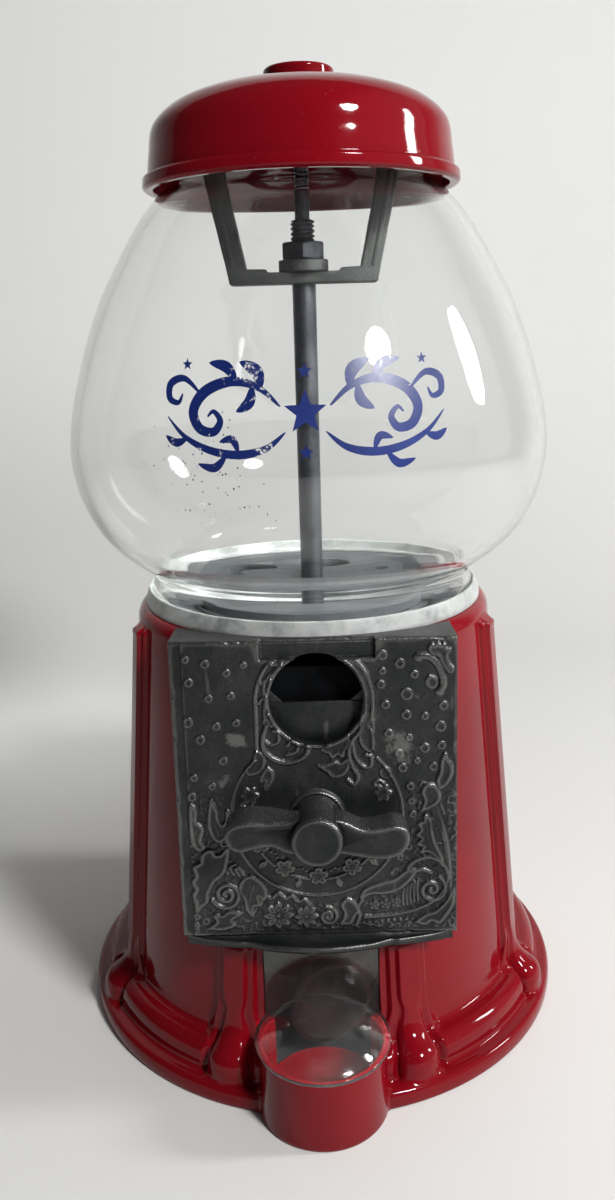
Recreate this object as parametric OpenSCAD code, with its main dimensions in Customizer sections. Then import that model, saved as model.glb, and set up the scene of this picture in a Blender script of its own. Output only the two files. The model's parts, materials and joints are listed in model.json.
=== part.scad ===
// Counter-top gumball machine: cast base, glass globe, turn-handle coin mechanism.
// Millimetres. The origin is at the base's resting plane, on the globe's axis. +Z is up and the
// coin mechanism faces -Y.

/* [Base casting] */
// Radius of the flange at the resting plane
base_r = 105; // [100:1:115]
// Height of the flange's outer rim
rim_h = 7; // [5:0.5:9]
// Height of the raised roll on the flange
roll_h = 16.5; // [15:0.5:20]
// Radius of the cone where it meets the flange
foot_r = 88; // [86:0.5:89]
// Radius of the cone at its top
top_r = 74.3; // [73:0.1:76]
// Height of the base casting
base_h = 178; // [172:1:186]
// Wall of the casting
base_wall = 3; // [2.5:0.1:4]
// How far the columns stand off the cone
column_off = 4; // [3:0.25:5]
// Half width of a column, degrees
column_half = 4.5; // [3:0.5:5.5]
// How far the strips beside a column stand off the cone
strip_off = 2; // [1:0.25:2.75]
// Half width of a column with its strips, degrees
strip_half = 8.5; // [7:0.5:10]

/* [Cup and flap] */
// Distance of the cup's axis in front of the globe's axis
cup_y = 96.5; // [94:0.5:99]
// Outer radius of the cup
cup_r = 25; // [24:0.25:26]
// Wall of the cup
cup_wall = 3; // [2:0.25:3.5]
// Height of the cup's rim
cup_h = 28.5; // [27:0.5:30]
// Radius of the clear flap's dome at its rim
flap_r = 25.6; // [25:0.1:26]
// Height of the dome above its rim
dome_h = 12; // [10:0.5:13]
// Wall of the clear flap
flap_wall = 1.6; // [1.2:0.1:2]
// Distance of the flap's panel in front of the globe's axis
panel_y = 83; // [82.5:0.25:84]
// Height of the flap's hinge pin
hinge_z = 60.5; // [59.5:0.25:61.5]
// Distance of the hinge pin in front of the globe's axis
hinge_y = 79; // [78.5:0.25:79.5]
// Radius of the hinge pin
hinge_pin_r = 1.5; // [1.2:0.1:1.7]

/* [Globe] */
// Largest outer radius of the glass
globe_r = 96; // [90:1:100]
// Height of the glass from its foot to its mouth
globe_h = 172.5; // [165:0.5:180]
// How far the gasket stands out round the glass neck
neck_in = 3; // [2:0.1:4]
// Outer radius of the glass mouth
mouth_r = 46; // [44:0.5:48]
// Wall of the glass
glass_wall = 3; // [2.5:0.1:4]
// How far the gasket lies in from the cone's top
gasket_in = 3.7; // [3:0.1:4.5]
// Height of the gasket
gasket_h = 7; // [5:0.5:8]
// Thickness of the gasket under the glass
gasket_t = 1.5; // [1:0.1:2]

/* [Lid] */
// Radius of the lid above its bead
lid_r = 58.8; // [57.5:0.1:60]
// Height of the lid
lid_h = 37; // [35:0.5:39]
// How far the lid reaches below the glass mouth
lid_overlap = 13.5; // [12:0.5:15]
// Wall of the lid
lid_wall = 2; // [1.6:0.1:2.4]
// How far the bead stands out at the lid's edge
bead_out = 2.2; // [1.5:0.1:3]
// Radius of the lid's knob
knob_r = 13.3; // [12:0.1:15]
// Height of the knob
knob_h = 4.7; // [4:0.1:6]
// Thickness of the washer under the knob
knob_washer_t = 0.8; // [0.6:0.1:1.2]

/* [Centre rod] */
// Radius of the rod
rod_r = 4.7; // [4.5:0.05:4.8]
// Radius of the thin stud at its top
stud_r = 2.9; // [2.5:0.1:3.1]
// Height of the bracket's bar, from the glass mouth down to its underside
bracket_drop = 48; // [40:0.5:52]
// Thickness of the bracket's bar and flanges
bracket_t = 4; // [3:0.25:5]
// Width of the bracket, front to back
bracket_w = 13; // [11:0.5:15]
// Thickness of the washer on the bracket
washer_t = 4; // [3:0.5:5]
// Thickness of the nut on the bracket
nut_t = 7; // [6:0.5:8]
// Width of the nut across its flats
nut_af = 16; // [15:0.5:17]

/* [Dispensing wheel] */
// Radius of the wheel
wheel_r = 49.8; // [48.5:0.1:50]
// Thickness of the wheel
wheel_t = 18.5; // [17:0.5:19.5]
// Radius of a pocket
pocket_r = 11.8; // [11:0.1:12]
// Radius of the ring of pockets
pocket_ring = 36.5; // [36:0.1:37]
// Angle of the outlet to the right of the front
outlet_az = 50; // [48:1:52]
// Radius of the outlet and of the guide tube's inside
outlet_r = 12.9; // [12.5:0.1:13.2]
// Thickness of the deck's floor
deck_t = 3; // [2.5:0.25:3.5]
// Thickness of the guard plate
guard_t = 4.5; // [3:0.25:5]
// Radius of the guard plate
guard_r = 47.5; // [45:0.5:49]

/* [Coin mechanism] */
// Half width of the cast faceplate
plate_half = 51.5; // [50:0.25:53]
// How far the faceplate's top stands above the base casting
plate_over = 3; // [1:0.25:4]
// Wall of the faceplate
plate_wall = 3; // [2.5:0.1:3.2]
// How far the faceplate's lower edge stands off the cone
plate_off = 1.17; // [0.8:0.01:1.6]
// How far the faceplate's top edge stands off the cone's top
plate_top_off = 2.73; // [2.3:0.01:3.2]
// Height of the faceplate's lower edge
plate_z = 67; // [66.5:0.25:68]
// How far the shaft lies below the middle of the faceplate
shaft_drop = 9.64; // [8.5:0.01:10.5]
// Radius of the handle shaft
shaft_r = 3.5; // [3:0.1:3.6]
// How far the coin window's centre lies below the faceplate's top
window_drop = 22.28; // [21:0.01:23]
// Radius of the coin window
window_r = 16.8; // [16:0.1:17.5]
// How far the coin lip ends below the coin window's centre
coin_lip_drop = 2.1; // [0:0.1:5]
// Radius of the dial
dial_r = 32.5; // [31:0.25:33]
// Half span of the handle
handle_half = 32.5; // [28:0.5:36]
// Half width of a wing of the handle
wing_half = 8.8; // [7:0.1:10]
// Thickness of a wing of the handle
wing_t = 9; // [6:0.5:10]
// Radius of the handle's hub
hub_r = 9; // [8:0.25:10]
// Distance of the handle's nose in front of the faceplate
nose_d = 25; // [23:0.5:27]
// Radius of the coin wheel
coin_wheel_r = 30; // [28:0.5:30.5]
// Radius of a coin
coin_r = 12.15; // [10.6:0.05:12.3]
// Thickness of a coin
coin_t = 1.75; // [1.35:0.05:1.9]
// Radius of the ratchet wheel
ratchet_r = 15; // [13:0.5:15.5]
// Number of ratchet teeth
ratchet_teeth = 12; // [8:1:16]

/* [Gears] */
// Gear module
gear_m = 1.4; // [1.3:0.05:1.4]
// Width of the gears' faces
face_w = 4.5; // [3.5:0.25:5]
// Thickness of the crown gear's ring
crown_t = 3.8; // [3:0.2:5]

/* [Clearances] */
// Radial running clearance of a shaft in its bore
run_gap = 0.05; // [0.03:0.01:0.08]
// Clearance between faces that turn or slide past each other
face_gap = 0.3; // [0.2:0.05:0.5]
// Clearance round a piece that drops into a seat
seat_gap = 0.25; // [0.2:0.05:0.4]
// Radial clearance of a screw in its hole
screw_gap = 0.2; // [0.1:0.05:0.4]

/* [Fasteners] */
// Radius of the small screws
screw_r = 1.75; // [1.5:0.05:2]
// Radius of the small screws' heads
screw_head_r = 3.4; // [3:0.1:3.8]
// Height of the small screws' heads
screw_head_h = 2; // [1.5:0.1:2.5]

/* [Hidden] */
$fn = 96;
big = 400;

// Counts that the mechanism is laid out for
column_count = 8;
pocket_count = 6;
pinion_teeth = 9;
crown_teeth = 27;
// Four turns of a 1.27 mm thread
knob_thread = 4 * 1.27;

// Base
skirt_r = base_r - 3.5;
foot_z = roll_h + 4.5;
shoulder_z = base_h - 6;
rim_slope = 1;
recess_r = base_r - 7;
recess_h = 4.2;
cavity_r = recess_r - 4;
top_t = 5;
// Stack above the base
deck_flange_t = 2.5;
deck_step = 4.3;
gasket_r = top_r - gasket_in;
neck_r = gasket_r - neck_in;
deck_r = gasket_r - 6;
deck_seat_r = deck_r + seat_gap;
well_r = wheel_r + 0.7;
well_rim_z = base_h - deck_flange_t;
funnel_r = deck_r - 7.1;
wheel_top_z = base_h - 1.5;
wheel_z = wheel_top_z - wheel_t;
floor_z = wheel_z - face_gap;
deck_under_z = floor_z - deck_t;
guard_z = wheel_top_z + face_gap;
globe_z = base_h + gasket_t;
mouth_z = globe_z + globe_h;
// Lid and rod
lid_z = mouth_z - lid_overlap;
lid_top_z = lid_z + lid_h;
knob_z = lid_top_z + knob_washer_t;
lid_bore_r = stud_r + 3.6;
bar_z = mouth_z - bracket_drop;
washer_z = bar_z + bracket_t;
nut_z = washer_z + washer_t;
rod_top_z = nut_z + nut_t + 8.4;
stud_top_z = knob_z - 0.3;
rod_bottom_z = 2;
// Bottom plate
dish_z = 12;
dish_t = 1.6;
bottom_washer_t = 1.8;
bottom_nut_t = 5.5;
// Where the faceplate stands: the distance of its lower edge from the axis, and its lean
plate_y = cone_r(plate_z) + plate_off;
plate_tilt = atan((plate_y - top_r - plate_top_off) / (base_h + plate_over - plate_z));
// Heights on the faceplate, from its lower edge
plate_h = (base_h + plate_over - plate_z) / cos(plate_tilt);
shaft_s = plate_h / 2 - shaft_drop;
window_s = plate_h - window_drop;
coin_lip_s = window_s - coin_lip_drop;
// Coin mechanism, as depths behind the faceplate's front
lip_t = 1.2;
coin_wheel_d = plate_wall + lip_t + face_gap + 0.1;
coin_wheel_t = coin_t + 0.45;
frame_d = coin_wheel_d + coin_wheel_t + 0.6;
frame_t = 2;
frame_half = 34;
frame_low = 10;
frame_high = plate_h - 12.3;
box_half = 22;
box_low = shaft_s - 22.5;
box_high = shaft_s + 24.5;
box_d = 38;
bearing_d = 53;
bearing_r = 7.5;
ratchet_d = frame_d + frame_t + 4;
ratchet_t = 3;
post_x = 30;
post_r = 3.6;
post_low = 14;
post_high = plate_h - 15.3;
boss_r = 10.9;
boss_h = 3;
bush_r = 6.2;
mount_x = 43.5;
mount_low = 12;
mount_high = plate_h - 12.3;
mount_post_r = 4.4;
mount_low_d = 24;
mount_high_d = 28.5;
window_half = 36;
window_low = plate_z + 7;
window_high = base_h - 8;
// Flap and chute
flap_clear = 0.6;
chute_half = 22.5;
chute_low = 12;
flap_rim_z = cup_h + face_gap;
dome_r = (flap_r * flap_r + dome_h * dome_h) / (2 * dome_h);
panel_half = sqrt(flap_r * flap_r - (cup_y - panel_y) * (cup_y - panel_y)) + 0.2;
barrel_r = hinge_pin_r + 1.6;
guide_wall = 1.5;
guide_bend_z = 74;
guide_end_y = cup_y - 8.5;
guide_end_z = 26;
guide_cut_y = panel_y - flap_wall - 1;
// Gears
pinion_r = gear_m * pinion_teeth / 2;
crown_r = gear_m * crown_teeth / 2;
tooth_w = 1.05 * gear_m;
mesh_y = crown_r;
crown_hub_h = 6;
shaft_mesh_z = plate_z + shaft_s / cos(plate_tilt) - (plate_y - mesh_y) * tan(plate_tilt);
crown_tip_z = shaft_mesh_z + pinion_r - 0.5;
crown_root_z = shaft_mesh_z + pinion_r + gear_m + 0.5;
pinion_d = (plate_y - mesh_y) * cos(plate_tilt) - (shaft_mesh_z - plate_z) * sin(plate_tilt);
tube_r = rod_r + 3.3;
bush_wall = 2;
bush_flange_t = 2;
deck_hub_h = 4;
// Levers
pawl_x = -16;
pawl_s = shaft_s + 18.5;
pawl_pin_r = 1.6;
pawl_t = 2.4;
lever_x = 30;
lever_s = window_s - 8;
lever_t = 2;
spring_wire = 0.5;

function lerp(a, b, t) = a + (b - a) * t;
// Radius of the cone's outside at height z
function cone_r(z) = lerp(foot_r, top_r, (z - foot_z) / (shoulder_z - foot_z));
// A point on the smooth curve through four points, between the middle two
function blend(a, b, c, d, t) =
    0.5 * (2 * b + (c - a) * t + (2 * a - 5 * b + 4 * c - d) * t * t
    + (3 * b - a - 3 * c + d) * t * t * t);
// A smooth curve through a list of points, n steps from each to the next
function curve(p, n) = concat(
    [for (i = [0:len(p) - 2], k = [0:n - 1])
        blend(p[max(i - 1, 0)], p[i], p[i + 1], p[min(i + 2, len(p) - 1)], k / n)],
    [p[len(p) - 1]]);
// The unit normal at point i of a curve, to the right of its direction
function side(p, i) =
    let (d = p[min(i + 1, len(p) - 1)] - p[max(i - 1, 0)])
    [d[1], -d[0]] / norm(d);
// The same curve moved sideways by t
function inset(p, t) = [for (i = [0:len(p) - 1]) p[i] + side(p, i) * t];
function backwards(p) = [for (i = [len(p) - 1:-1:0]) p[i]];
// The azimuth that faces az degrees to the right of the front, as an OpenSCAD angle
function facing(az) = az - 90;

// Glass profile, from the foot up, as radius and height
globe_points = [
    [neck_r, globe_z], [neck_r, globe_z + 5], [lerp(neck_r, globe_r, 0.05), globe_z + 10.5],
    [lerp(neck_r, globe_r, 0.33), globe_z + 17.3], [lerp(neck_r, globe_r, 0.87), globe_z + 33.5],
    [lerp(neck_r, globe_r, 0.985), globe_z + 47], [globe_r, globe_z + 0.37 * globe_h],
    [lerp(mouth_r, globe_r, 0.95), mouth_z - 0.46 * globe_h],
    [lerp(mouth_r, globe_r, 0.76), mouth_z - 0.304 * globe_h],
    [lerp(mouth_r, globe_r, 0.52), mouth_z - 33.5], [lerp(mouth_r, globe_r, 0.22), mouth_z - 17],
    [mouth_r + 2.6, mouth_z - 8], [mouth_r + 0.6, mouth_z - 3], [mouth_r, mouth_z]];
globe_outside = curve(globe_points, 5);
glass_inset = inset(globe_outside, -glass_wall);
globe_inside = concat([[neck_r - glass_wall, globe_z]],
    [for (i = [1:len(glass_inset) - 2]) glass_inset[i]], [[mouth_r - glass_wall, mouth_z]]);
// Lid profile, from its top out and down
lid_points = [
    [knob_r, lid_top_z], [0.51 * lid_r, lid_top_z - 2], [0.70 * lid_r, lid_top_z - 4.8],
    [0.85 * lid_r, lid_top_z - 8.8], [0.955 * lid_r, lid_top_z - 15], [0.985 * lid_r, lid_top_z - 24],
    [lid_r, lid_z + 6.2]];
lid_curve = curve(lid_points, 5);
lid_under = inset(lid_curve, lid_wall);

// Places its children in the faceplate's frame: x right, y deeper, z up the slope
module in_plate() {
    translate([0, -plate_y, plate_z]) rotate([-plate_tilt, 0, 0]) children();
}
// A cylinder along the shaft's direction, from depth d1 to depth d2, at (x, s)
module along(x, s, d1, d2, r) {
    translate([x, d1, s]) rotate([-90, 0, 0]) cylinder(h = d2 - d1, r = r);
}
// An outline drawn in x and s, from depth d1 to depth d2
module slab(d1, d2) {
    translate([0, d2, 0]) rotate([90, 0, 0]) linear_extrude(d2 - d1) children();
}
module ring(r_out, r_in, z, h) {
    translate([0, 0, z]) difference() {
        cylinder(h = h, r = r_out);
        translate([0, 0, -1]) cylinder(h = h + 2, r = r_in);
    }
}
module hex(af, h, bore) {
    difference() {
        cylinder(h = h, r = af / sqrt(3), $fn = 6);
        translate([0, 0, -1]) cylinder(h = h + 2, r = bore);
    }
}

// The double column: a strip of the cone's profile moved outward, ending in a foot on the flange
function column_outline(off, top) = concat(
    [[cone_r(top) - 2, top], [cone_r(top) + off - 2.6, top - 0.4],
     [cone_r(top) + off - 0.7, top - 2.2], [cone_r(top - 6) + off, top - 6]],
    curve([[cone_r(36) + off, 36], [cone_r(28) + off + 0.8, 28],
     [foot_r + 6 + off / 2, roll_h + 4], [skirt_r - 3.5 + off / 2, roll_h + 1.2],
     [skirt_r - 0.8 + off / 4, roll_h - 2.5]], 4),
    [[skirt_r + off / 4, rim_h - 1], [cavity_r + 2, rim_h - 1], [cavity_r + 2, 12],
     [foot_r - 1, foot_z - 3], [cone_r(36) - 1, 36]]);
module column(az, off, half, top) {
    rotate([0, 0, facing(az) - half]) rotate_extrude(angle = 2 * half)
        polygon(column_outline(off, top));
}
module columns() {
    for (i = [0:column_count - 1]) {
        az = (i + 0.5) * 360 / column_count;
        front = min(az, 360 - az) < 30;
        top = front ? plate_z - 3.5 : base_h - 1.2;
        column(az, strip_off, strip_half, top);
        column(az, column_off, column_half, top - 0.2);
    }
}
module base_outside() {
    rotate_extrude() polygon([[0, 0], [base_r, 0], [base_r, 1.5], [base_r - rim_slope, rim_h],
        [skirt_r, rim_h + 0.4], [skirt_r - 1.8, roll_h - 3.6], [skirt_r - 4, roll_h - 0.9],
        [skirt_r - 7, roll_h], [foot_r + 3.4, roll_h - 0.2], [foot_r + 1.4, roll_h + 1],
        [foot_r, foot_z], [top_r, shoulder_z], [top_r - 0.8, base_h - 2.8],
        [top_r - 2.4, base_h - 0.7], [top_r - 4, base_h], [0, base_h]]);
}
module base_cavity() {
    rotate_extrude() polygon([[0, -1], [recess_r, -1], [recess_r, recess_h], [cavity_r, recess_h],
        [cavity_r, 11], [foot_r - base_wall, foot_z - 3], [cone_r(foot_z) - base_wall, foot_z],
        [top_r - base_wall, shoulder_z - 1], [deck_r - 4, base_h - top_t], [deck_r - 4, base_h - deck_flange_t],
        [deck_seat_r, base_h - deck_flange_t], [deck_seat_r, base_h + 1], [0, base_h + 1]]);
}
module cup() {
    difference() {
        translate([0, -cup_y, 0]) cylinder(h = cup_h, r1 = cup_r, r2 = cup_r - 0.8);
        translate([0, 0, -1]) cylinder(h = recess_h + 1, r = recess_r);
        translate([-big / 2, -panel_y, chute_low]) cube([big, big, big]);
    }
}
module mount_holes(r, d1, d2) {
    for (x = [-mount_x, mount_x], s = [mount_low, mount_high]) along(x, s, d1, d2, r);
}
module base_casting() color("firebrick") difference() {
    union() {
        difference() {
            union() {
                base_outside();
                columns();
            }
            base_cavity();
        }
        cup();
    }
    translate([0, -cup_y, recess_h + 2]) cylinder(h = cup_h, r = cup_r - cup_wall);
    translate([0, -cup_y, cup_h]) cylinder(h = plate_z - cup_h, r = flap_r + flap_clear);
    translate([-chute_half, -base_r, chute_low]) cube([2 * chute_half, base_r - 60, window_low - chute_low + 1]);
    translate([-window_half, -base_r, window_low])
        cube([2 * window_half, base_r - 50, window_high - window_low]);
    in_plate() mount_holes(screw_r + screw_gap, 0, 60);
    in_plate() for (x = [-mount_x, mount_x]) {
        along(x, mount_low, mount_low_d, 60, screw_head_r + 0.5);
        along(x, mount_high, mount_high_d, 60, screw_head_r + 0.5);
    }
    translate([-chute_half - 3, -hinge_y, hinge_z]) rotate([0, 90, 0])
        cylinder(h = 2 * chute_half + 6, r = hinge_pin_r + run_gap);
}
module bottom_plate() color("dimgray") rotate_extrude() polygon([
    [rod_r + 0.4, dish_z], [40, dish_z], [56, recess_h - dish_t], [recess_r - 0.4, recess_h - dish_t],
    [recess_r - 0.4, recess_h], [56.4, recess_h], [40.4, dish_z + dish_t], [rod_r + 0.4, dish_z + dish_t]]);
module bottom_washer() color("silver")
    ring(12, rod_r + 0.3, dish_z - bottom_washer_t, bottom_washer_t);
module bottom_nut() color("silver")
    translate([0, 0, dish_z - bottom_washer_t - bottom_nut_t]) hex(nut_af, bottom_nut_t, rod_r + 0.02);

module at_outlet() {
    rotate([0, 0, facing(outlet_az)]) translate([pocket_ring, 0, 0]) children();
}
// Two lugs at the guard plate's ends that reach the deck's rim
lug_az = 76;
lug_r = funnel_r + 2.6;
lug_in = lug_r - guard_r + 7.4;
module at_lugs() {
    for (a = [-lug_az, lug_az]) rotate([0, 0, facing(a)]) translate([lug_r, 0, 0]) children();
}
deck_bore_r = tube_r + bush_wall + seat_gap;
deck_hub_r = tube_r + bush_wall + 4;
// The wheel's well: a ring wall that hangs from its flange, and the floor that it stands on
module hopper_deck() color("slategray") difference() {
    rotate_extrude() polygon([[well_r, floor_z], [well_r + deck_t, floor_z],
        [well_r + deck_t, base_h - top_t - 1], [deck_r - deck_step, base_h - top_t],
        [deck_r - deck_step, well_rim_z], [deck_r, well_rim_z], [deck_r, base_h], [funnel_r, base_h],
        [well_r, well_rim_z - 1]]);
    at_lugs() cylinder(h = big, r = screw_r + screw_gap);
}
module deck_floor() color("darkgray") difference() {
    rotate_extrude() polygon([[deck_bore_r, deck_under_z - deck_hub_h],
        [deck_hub_r, deck_under_z - deck_hub_h], [deck_hub_r, deck_under_z],
        [well_r + deck_t, deck_under_z], [well_r + deck_t, floor_z], [deck_bore_r, floor_z]]);
    at_outlet() translate([0, 0, deck_under_z - 1]) cylinder(h = deck_t + 2, r = outlet_r);
}
module wheel_bush() color("darkgoldenrod") difference() {
    union() {
        translate([0, 0, deck_under_z - deck_hub_h])
            cylinder(h = deck_t + deck_hub_h, r = tube_r + bush_wall);
        translate([0, 0, deck_under_z - deck_hub_h - bush_flange_t])
            cylinder(h = bush_flange_t, r = tube_r + 2 * bush_wall);
    }
    cylinder(h = big, r = tube_r + run_gap);
}
module guard_plate() color("gray") difference() {
    union() {
        intersection() {
            translate([0, 0, guard_z]) cylinder(h = guard_t, r = guard_r);
            translate([-guard_r, -big, 0]) cube([2 * guard_r - 1.5, big + rod_r + 3, big]);
        }
        intersection() {
            at_lugs() translate([-lug_in, -5, base_h]) cube([lug_in + 4, 10, guard_t - (base_h - guard_z)]);
            cylinder(h = big, r = deck_r - 3);
        }
    }
    translate([0, 0, guard_z - 1]) cylinder(h = guard_t + 2, r = rod_r + 0.3);
    at_lugs() translate([0, 0, base_h - 1]) cylinder(h = guard_t + 2, r = screw_r + screw_gap);
}
module guard_screws() color("silver") at_lugs() {
    translate([0, 0, well_rim_z + 0.2]) cylinder(h = guard_z + guard_t - well_rim_z, r = screw_r);
    translate([0, 0, guard_z + guard_t]) cylinder(h = screw_head_h, r = screw_head_r - 0.4);
}
module globe_gasket() color("gainsboro") rotate_extrude() polygon([
    [deck_r - 2, base_h], [gasket_r, base_h], [gasket_r, base_h + 1.5],
    [neck_r + 1.3, base_h + gasket_h], [neck_r + 0.2, base_h + gasket_h],
    [neck_r + 0.2, globe_z], [deck_r - 2, globe_z]]);
module globe() color("lightblue", 0.4) rotate_extrude()
    polygon(concat(globe_outside, backwards(globe_inside)));
bracket_foot = 29;
bracket_shoulder = 37.5;
arm_t = 8;
module globe_bracket() color("darkslategray") difference() {
    translate([0, bracket_w / 2, 0]) rotate([90, 0, 0]) linear_extrude(bracket_w) polygon([
        [-bracket_foot, bar_z], [bracket_foot, bar_z], [bracket_shoulder, mouth_z - 8],
        [mouth_r - glass_wall - 2.4, mouth_z], [mouth_r - 0.6, mouth_z], [mouth_r - 0.6, mouth_z + bracket_t - 1],
        [bracket_shoulder - arm_t, mouth_z + bracket_t - 1], [bracket_shoulder - arm_t, mouth_z - 8],
        [bracket_foot - arm_t + 1.5, bar_z + bracket_t],
        [-bracket_foot + arm_t - 1.5, bar_z + bracket_t],
        [-bracket_shoulder + arm_t, mouth_z - 8], [-bracket_shoulder + arm_t, mouth_z + bracket_t - 1],
        [-mouth_r + 0.6, mouth_z + bracket_t - 1], [-mouth_r + 0.6, mouth_z],
        [-mouth_r + glass_wall + 2.4, mouth_z], [-bracket_shoulder, mouth_z - 8]]);
    translate([0, 0, bar_z - 1]) cylinder(h = bracket_t + 2, r = rod_r + 0.3);
}
module bracket_washer() color("darkslategray")
    ring(9.8, rod_r + 0.2, washer_z, washer_t);
module bracket_nut() color("gray") translate([0, 0, nut_z]) hex(nut_af, nut_t, rod_r + 0.02);
thread_step = 1.7;
module center_rod() color("dimgray") {
    rotate_extrude() polygon(concat(
        [[0, rod_bottom_z], [rod_r - 0.6, rod_bottom_z], [rod_r, rod_bottom_z + 0.6],
         [rod_r, nut_z + nut_t]],
        [for (i = [0:3], k = [0:1]) [rod_r - (k == 0 ? 0.7 : 0), nut_z + nut_t + (i + k / 2 + 0.3) * thread_step]],
        [[stud_r, rod_top_z], [stud_r, stud_top_z - 0.5], [stud_r - 0.5, stud_top_z], [0, stud_top_z]]));
}

seat_ring_r = mouth_r - 1;
module lid() color("firebrick") difference() {
    union() {
        rotate_extrude() polygon(concat([[0, lid_top_z]], lid_curve,
            [[lid_r + bead_out, lid_z + 5.6], [lid_r + bead_out + 0.1, lid_z + 3.4],
             [lid_r + 0.9, lid_z + 2.4], [lid_r + 0.5, lid_z], [lid_r - lid_wall, lid_z],
             [lid_r - lid_wall, lid_z + 6.2]],
            backwards(lid_under), [[0, lid_top_z - lid_wall]]));
        ring(seat_ring_r, seat_ring_r - 2, mouth_z + bracket_t - 1 + face_gap,
            lid_top_z - lid_wall - mouth_z - bracket_t - 3.5);
    }
    translate([0, 0, lid_top_z - 10]) cylinder(h = 20, r = lid_bore_r);
}
module knob_washer() color("silver")
    ring(knob_r - 1.5, stud_r + 2.8, lid_top_z, knob_washer_t);
module lid_knob() color("firebrick") difference() {
    union() {
        rotate_extrude() polygon([[0, knob_z], [knob_r, knob_z], [knob_r, knob_z + knob_h - 1],
            [knob_r - 0.4, knob_z + knob_h - 0.3], [knob_r - 1.2, knob_z + knob_h], [0, knob_z + knob_h]]);
        translate([0, 0, stud_top_z - knob_thread]) cylinder(h = knob_thread + 1, r = stud_r + 2.4);
    }
    translate([0, 0, stud_top_z - knob_thread - 1])
        cylinder(h = knob_thread + 1.6, r = stud_r + run_gap);
}

// Everything that the cone fills, for pieces that are cut to lie against it
module cone_space(gap) {
    translate([0, 0, foot_z]) cylinder(h = shoulder_z - foot_z, r1 = foot_r + gap, r2 = top_r + gap);
    translate([0, 0, shoulder_z]) cylinder(h = 20, r = top_r + gap);
}
module arch_outline(grow) {
    translate([0, window_s]) circle(r = window_r + 5.4 + grow);
    translate([-window_r - 5.4 - grow, shaft_s + 22]) square([2 * (window_r + 5.4 + grow), window_s - shaft_s - 22]);
}
// The curved lip under the faceplate, front edge from the left end to the right
lip_reach = 11;
lip_edge = curve([[-plate_half + 1.5, 0.4], [-plate_half + 9, -2.6], [-29, -5.4], [-25, -5.8],
    [-18, -8.6], [0, -lip_reach], [18, -8.6], [25, -5.8], [29, -5.4], [plate_half - 9, -2.6],
    [plate_half - 1.5, 0.4]], 4);
module faceplate() color("dimgray") difference() {
    union() {
        difference() {
            in_plate() difference() {
                translate([-plate_half, 0, 0]) cube([2 * plate_half, 40, plate_h]);
                translate([-plate_half + plate_wall, plate_wall, plate_wall])
                    cube([2 * (plate_half - plate_wall), 60, plate_h - 2 * plate_wall]);
            }
            cone_space(seat_gap);
        }
        in_plate() translate([-plate_half, 0, 0]) cube([2 * plate_half, plate_wall, plate_h]);
        in_plate() along(0, shaft_s, -boss_h, plate_wall, boss_r);
        in_plate() along(0, shaft_s, -1.2, plate_wall, dial_r);
        in_plate() slab(-1.2, 1) arch_outline(0);
        in_plate() translate([0, 0, -3.4]) linear_extrude(3.6) polygon(concat(lip_edge,
            [[plate_half - 1.5, 1.6], [-plate_half + 1.5, 1.6]]));
        in_plate() for (x = [-post_x, post_x], s = [post_low, post_high])
            along(x, s, plate_wall - 1, frame_d, post_r);
        difference() {
            in_plate() mount_holes(mount_post_r, plate_wall - 1, 40);
            cone_space(seat_gap);
        }
    }
    in_plate() {
        along(0.8, window_s, -10, plate_wall + 1, window_r);
        along(0, shaft_s, -10, plate_wall + 1, bush_r);
        mount_holes(screw_r + run_gap, plate_wall + 4, 60);
        for (x = [-post_x, post_x], s = [post_low, post_high])
            along(x, s, plate_wall - 1.5, frame_d + 1, screw_r + run_gap);
    }
}
module faceplate_screws() color("silver") in_plate() {
    for (x = [-mount_x, mount_x]) {
        along(x, mount_low, plate_wall + 5, mount_low_d + 1, screw_r);
        along(x, mount_low, mount_low_d, mount_low_d + screw_head_h, screw_head_r);
        along(x, mount_high, plate_wall + 5, mount_high_d + 1, screw_r);
        along(x, mount_high, mount_high_d, mount_high_d + screw_head_h, screw_head_r);
    }
}
module handle_bushing() color("darkgoldenrod") in_plate() difference() {
    along(0, shaft_s, -boss_h - 0.2, plate_wall + face_gap, bush_r);
    along(0, shaft_s, -big, big, shaft_r + run_gap);
}
module coin_lip() color("gray") in_plate() difference() {
    along(0.8, window_s, plate_wall, plate_wall + lip_t, window_r + 2.2);
    translate([-big / 2, 0, coin_lip_s]) cube([big, big, big]);
    translate([-big / 2, 0, 0]) cube([big, big, window_s - window_r - 3]);
}
module mech_frame() color("darkgray") in_plate() difference() {
    union() {
        translate([-frame_half, frame_d, frame_low]) cube([2 * frame_half, frame_t, frame_high - frame_low]);
        translate([-box_half, frame_d + frame_t - 0.5, box_low])
            cube([2 * box_half, box_d - frame_d - frame_t + 0.5, box_high - box_low]);
        along(0, shaft_s, box_d - 1, bearing_d, bearing_r);
    }
    translate([-box_half + 2, frame_d + frame_t, box_low + 2])
        cube([2 * box_half - 4, box_d - frame_d - frame_t - 2, box_high - box_low - 4]);
    along(0, shaft_s, 0, big, shaft_r + run_gap);
    along(0, shaft_s, frame_d - 1, frame_d + frame_t + 1, shaft_r + 2);
    for (x = [-post_x, post_x], s = [post_low, post_high])
        along(x, s, 0, frame_d + 10, screw_r + screw_gap);
    along(pawl_x, pawl_s, 0, 22, pawl_pin_r + 0.02);
    along(lever_x, lever_s, 0, 22, pawl_pin_r + 0.02);
}
module mech_screws() color("silver") in_plate()
    for (x = [-post_x, post_x], s = [post_low, post_high]) {
        along(x, s, plate_wall, frame_d + frame_t + 0.5, screw_r);
        along(x, s, frame_d + frame_t, frame_d + frame_t + screw_head_h, screw_head_r);
    }
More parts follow.
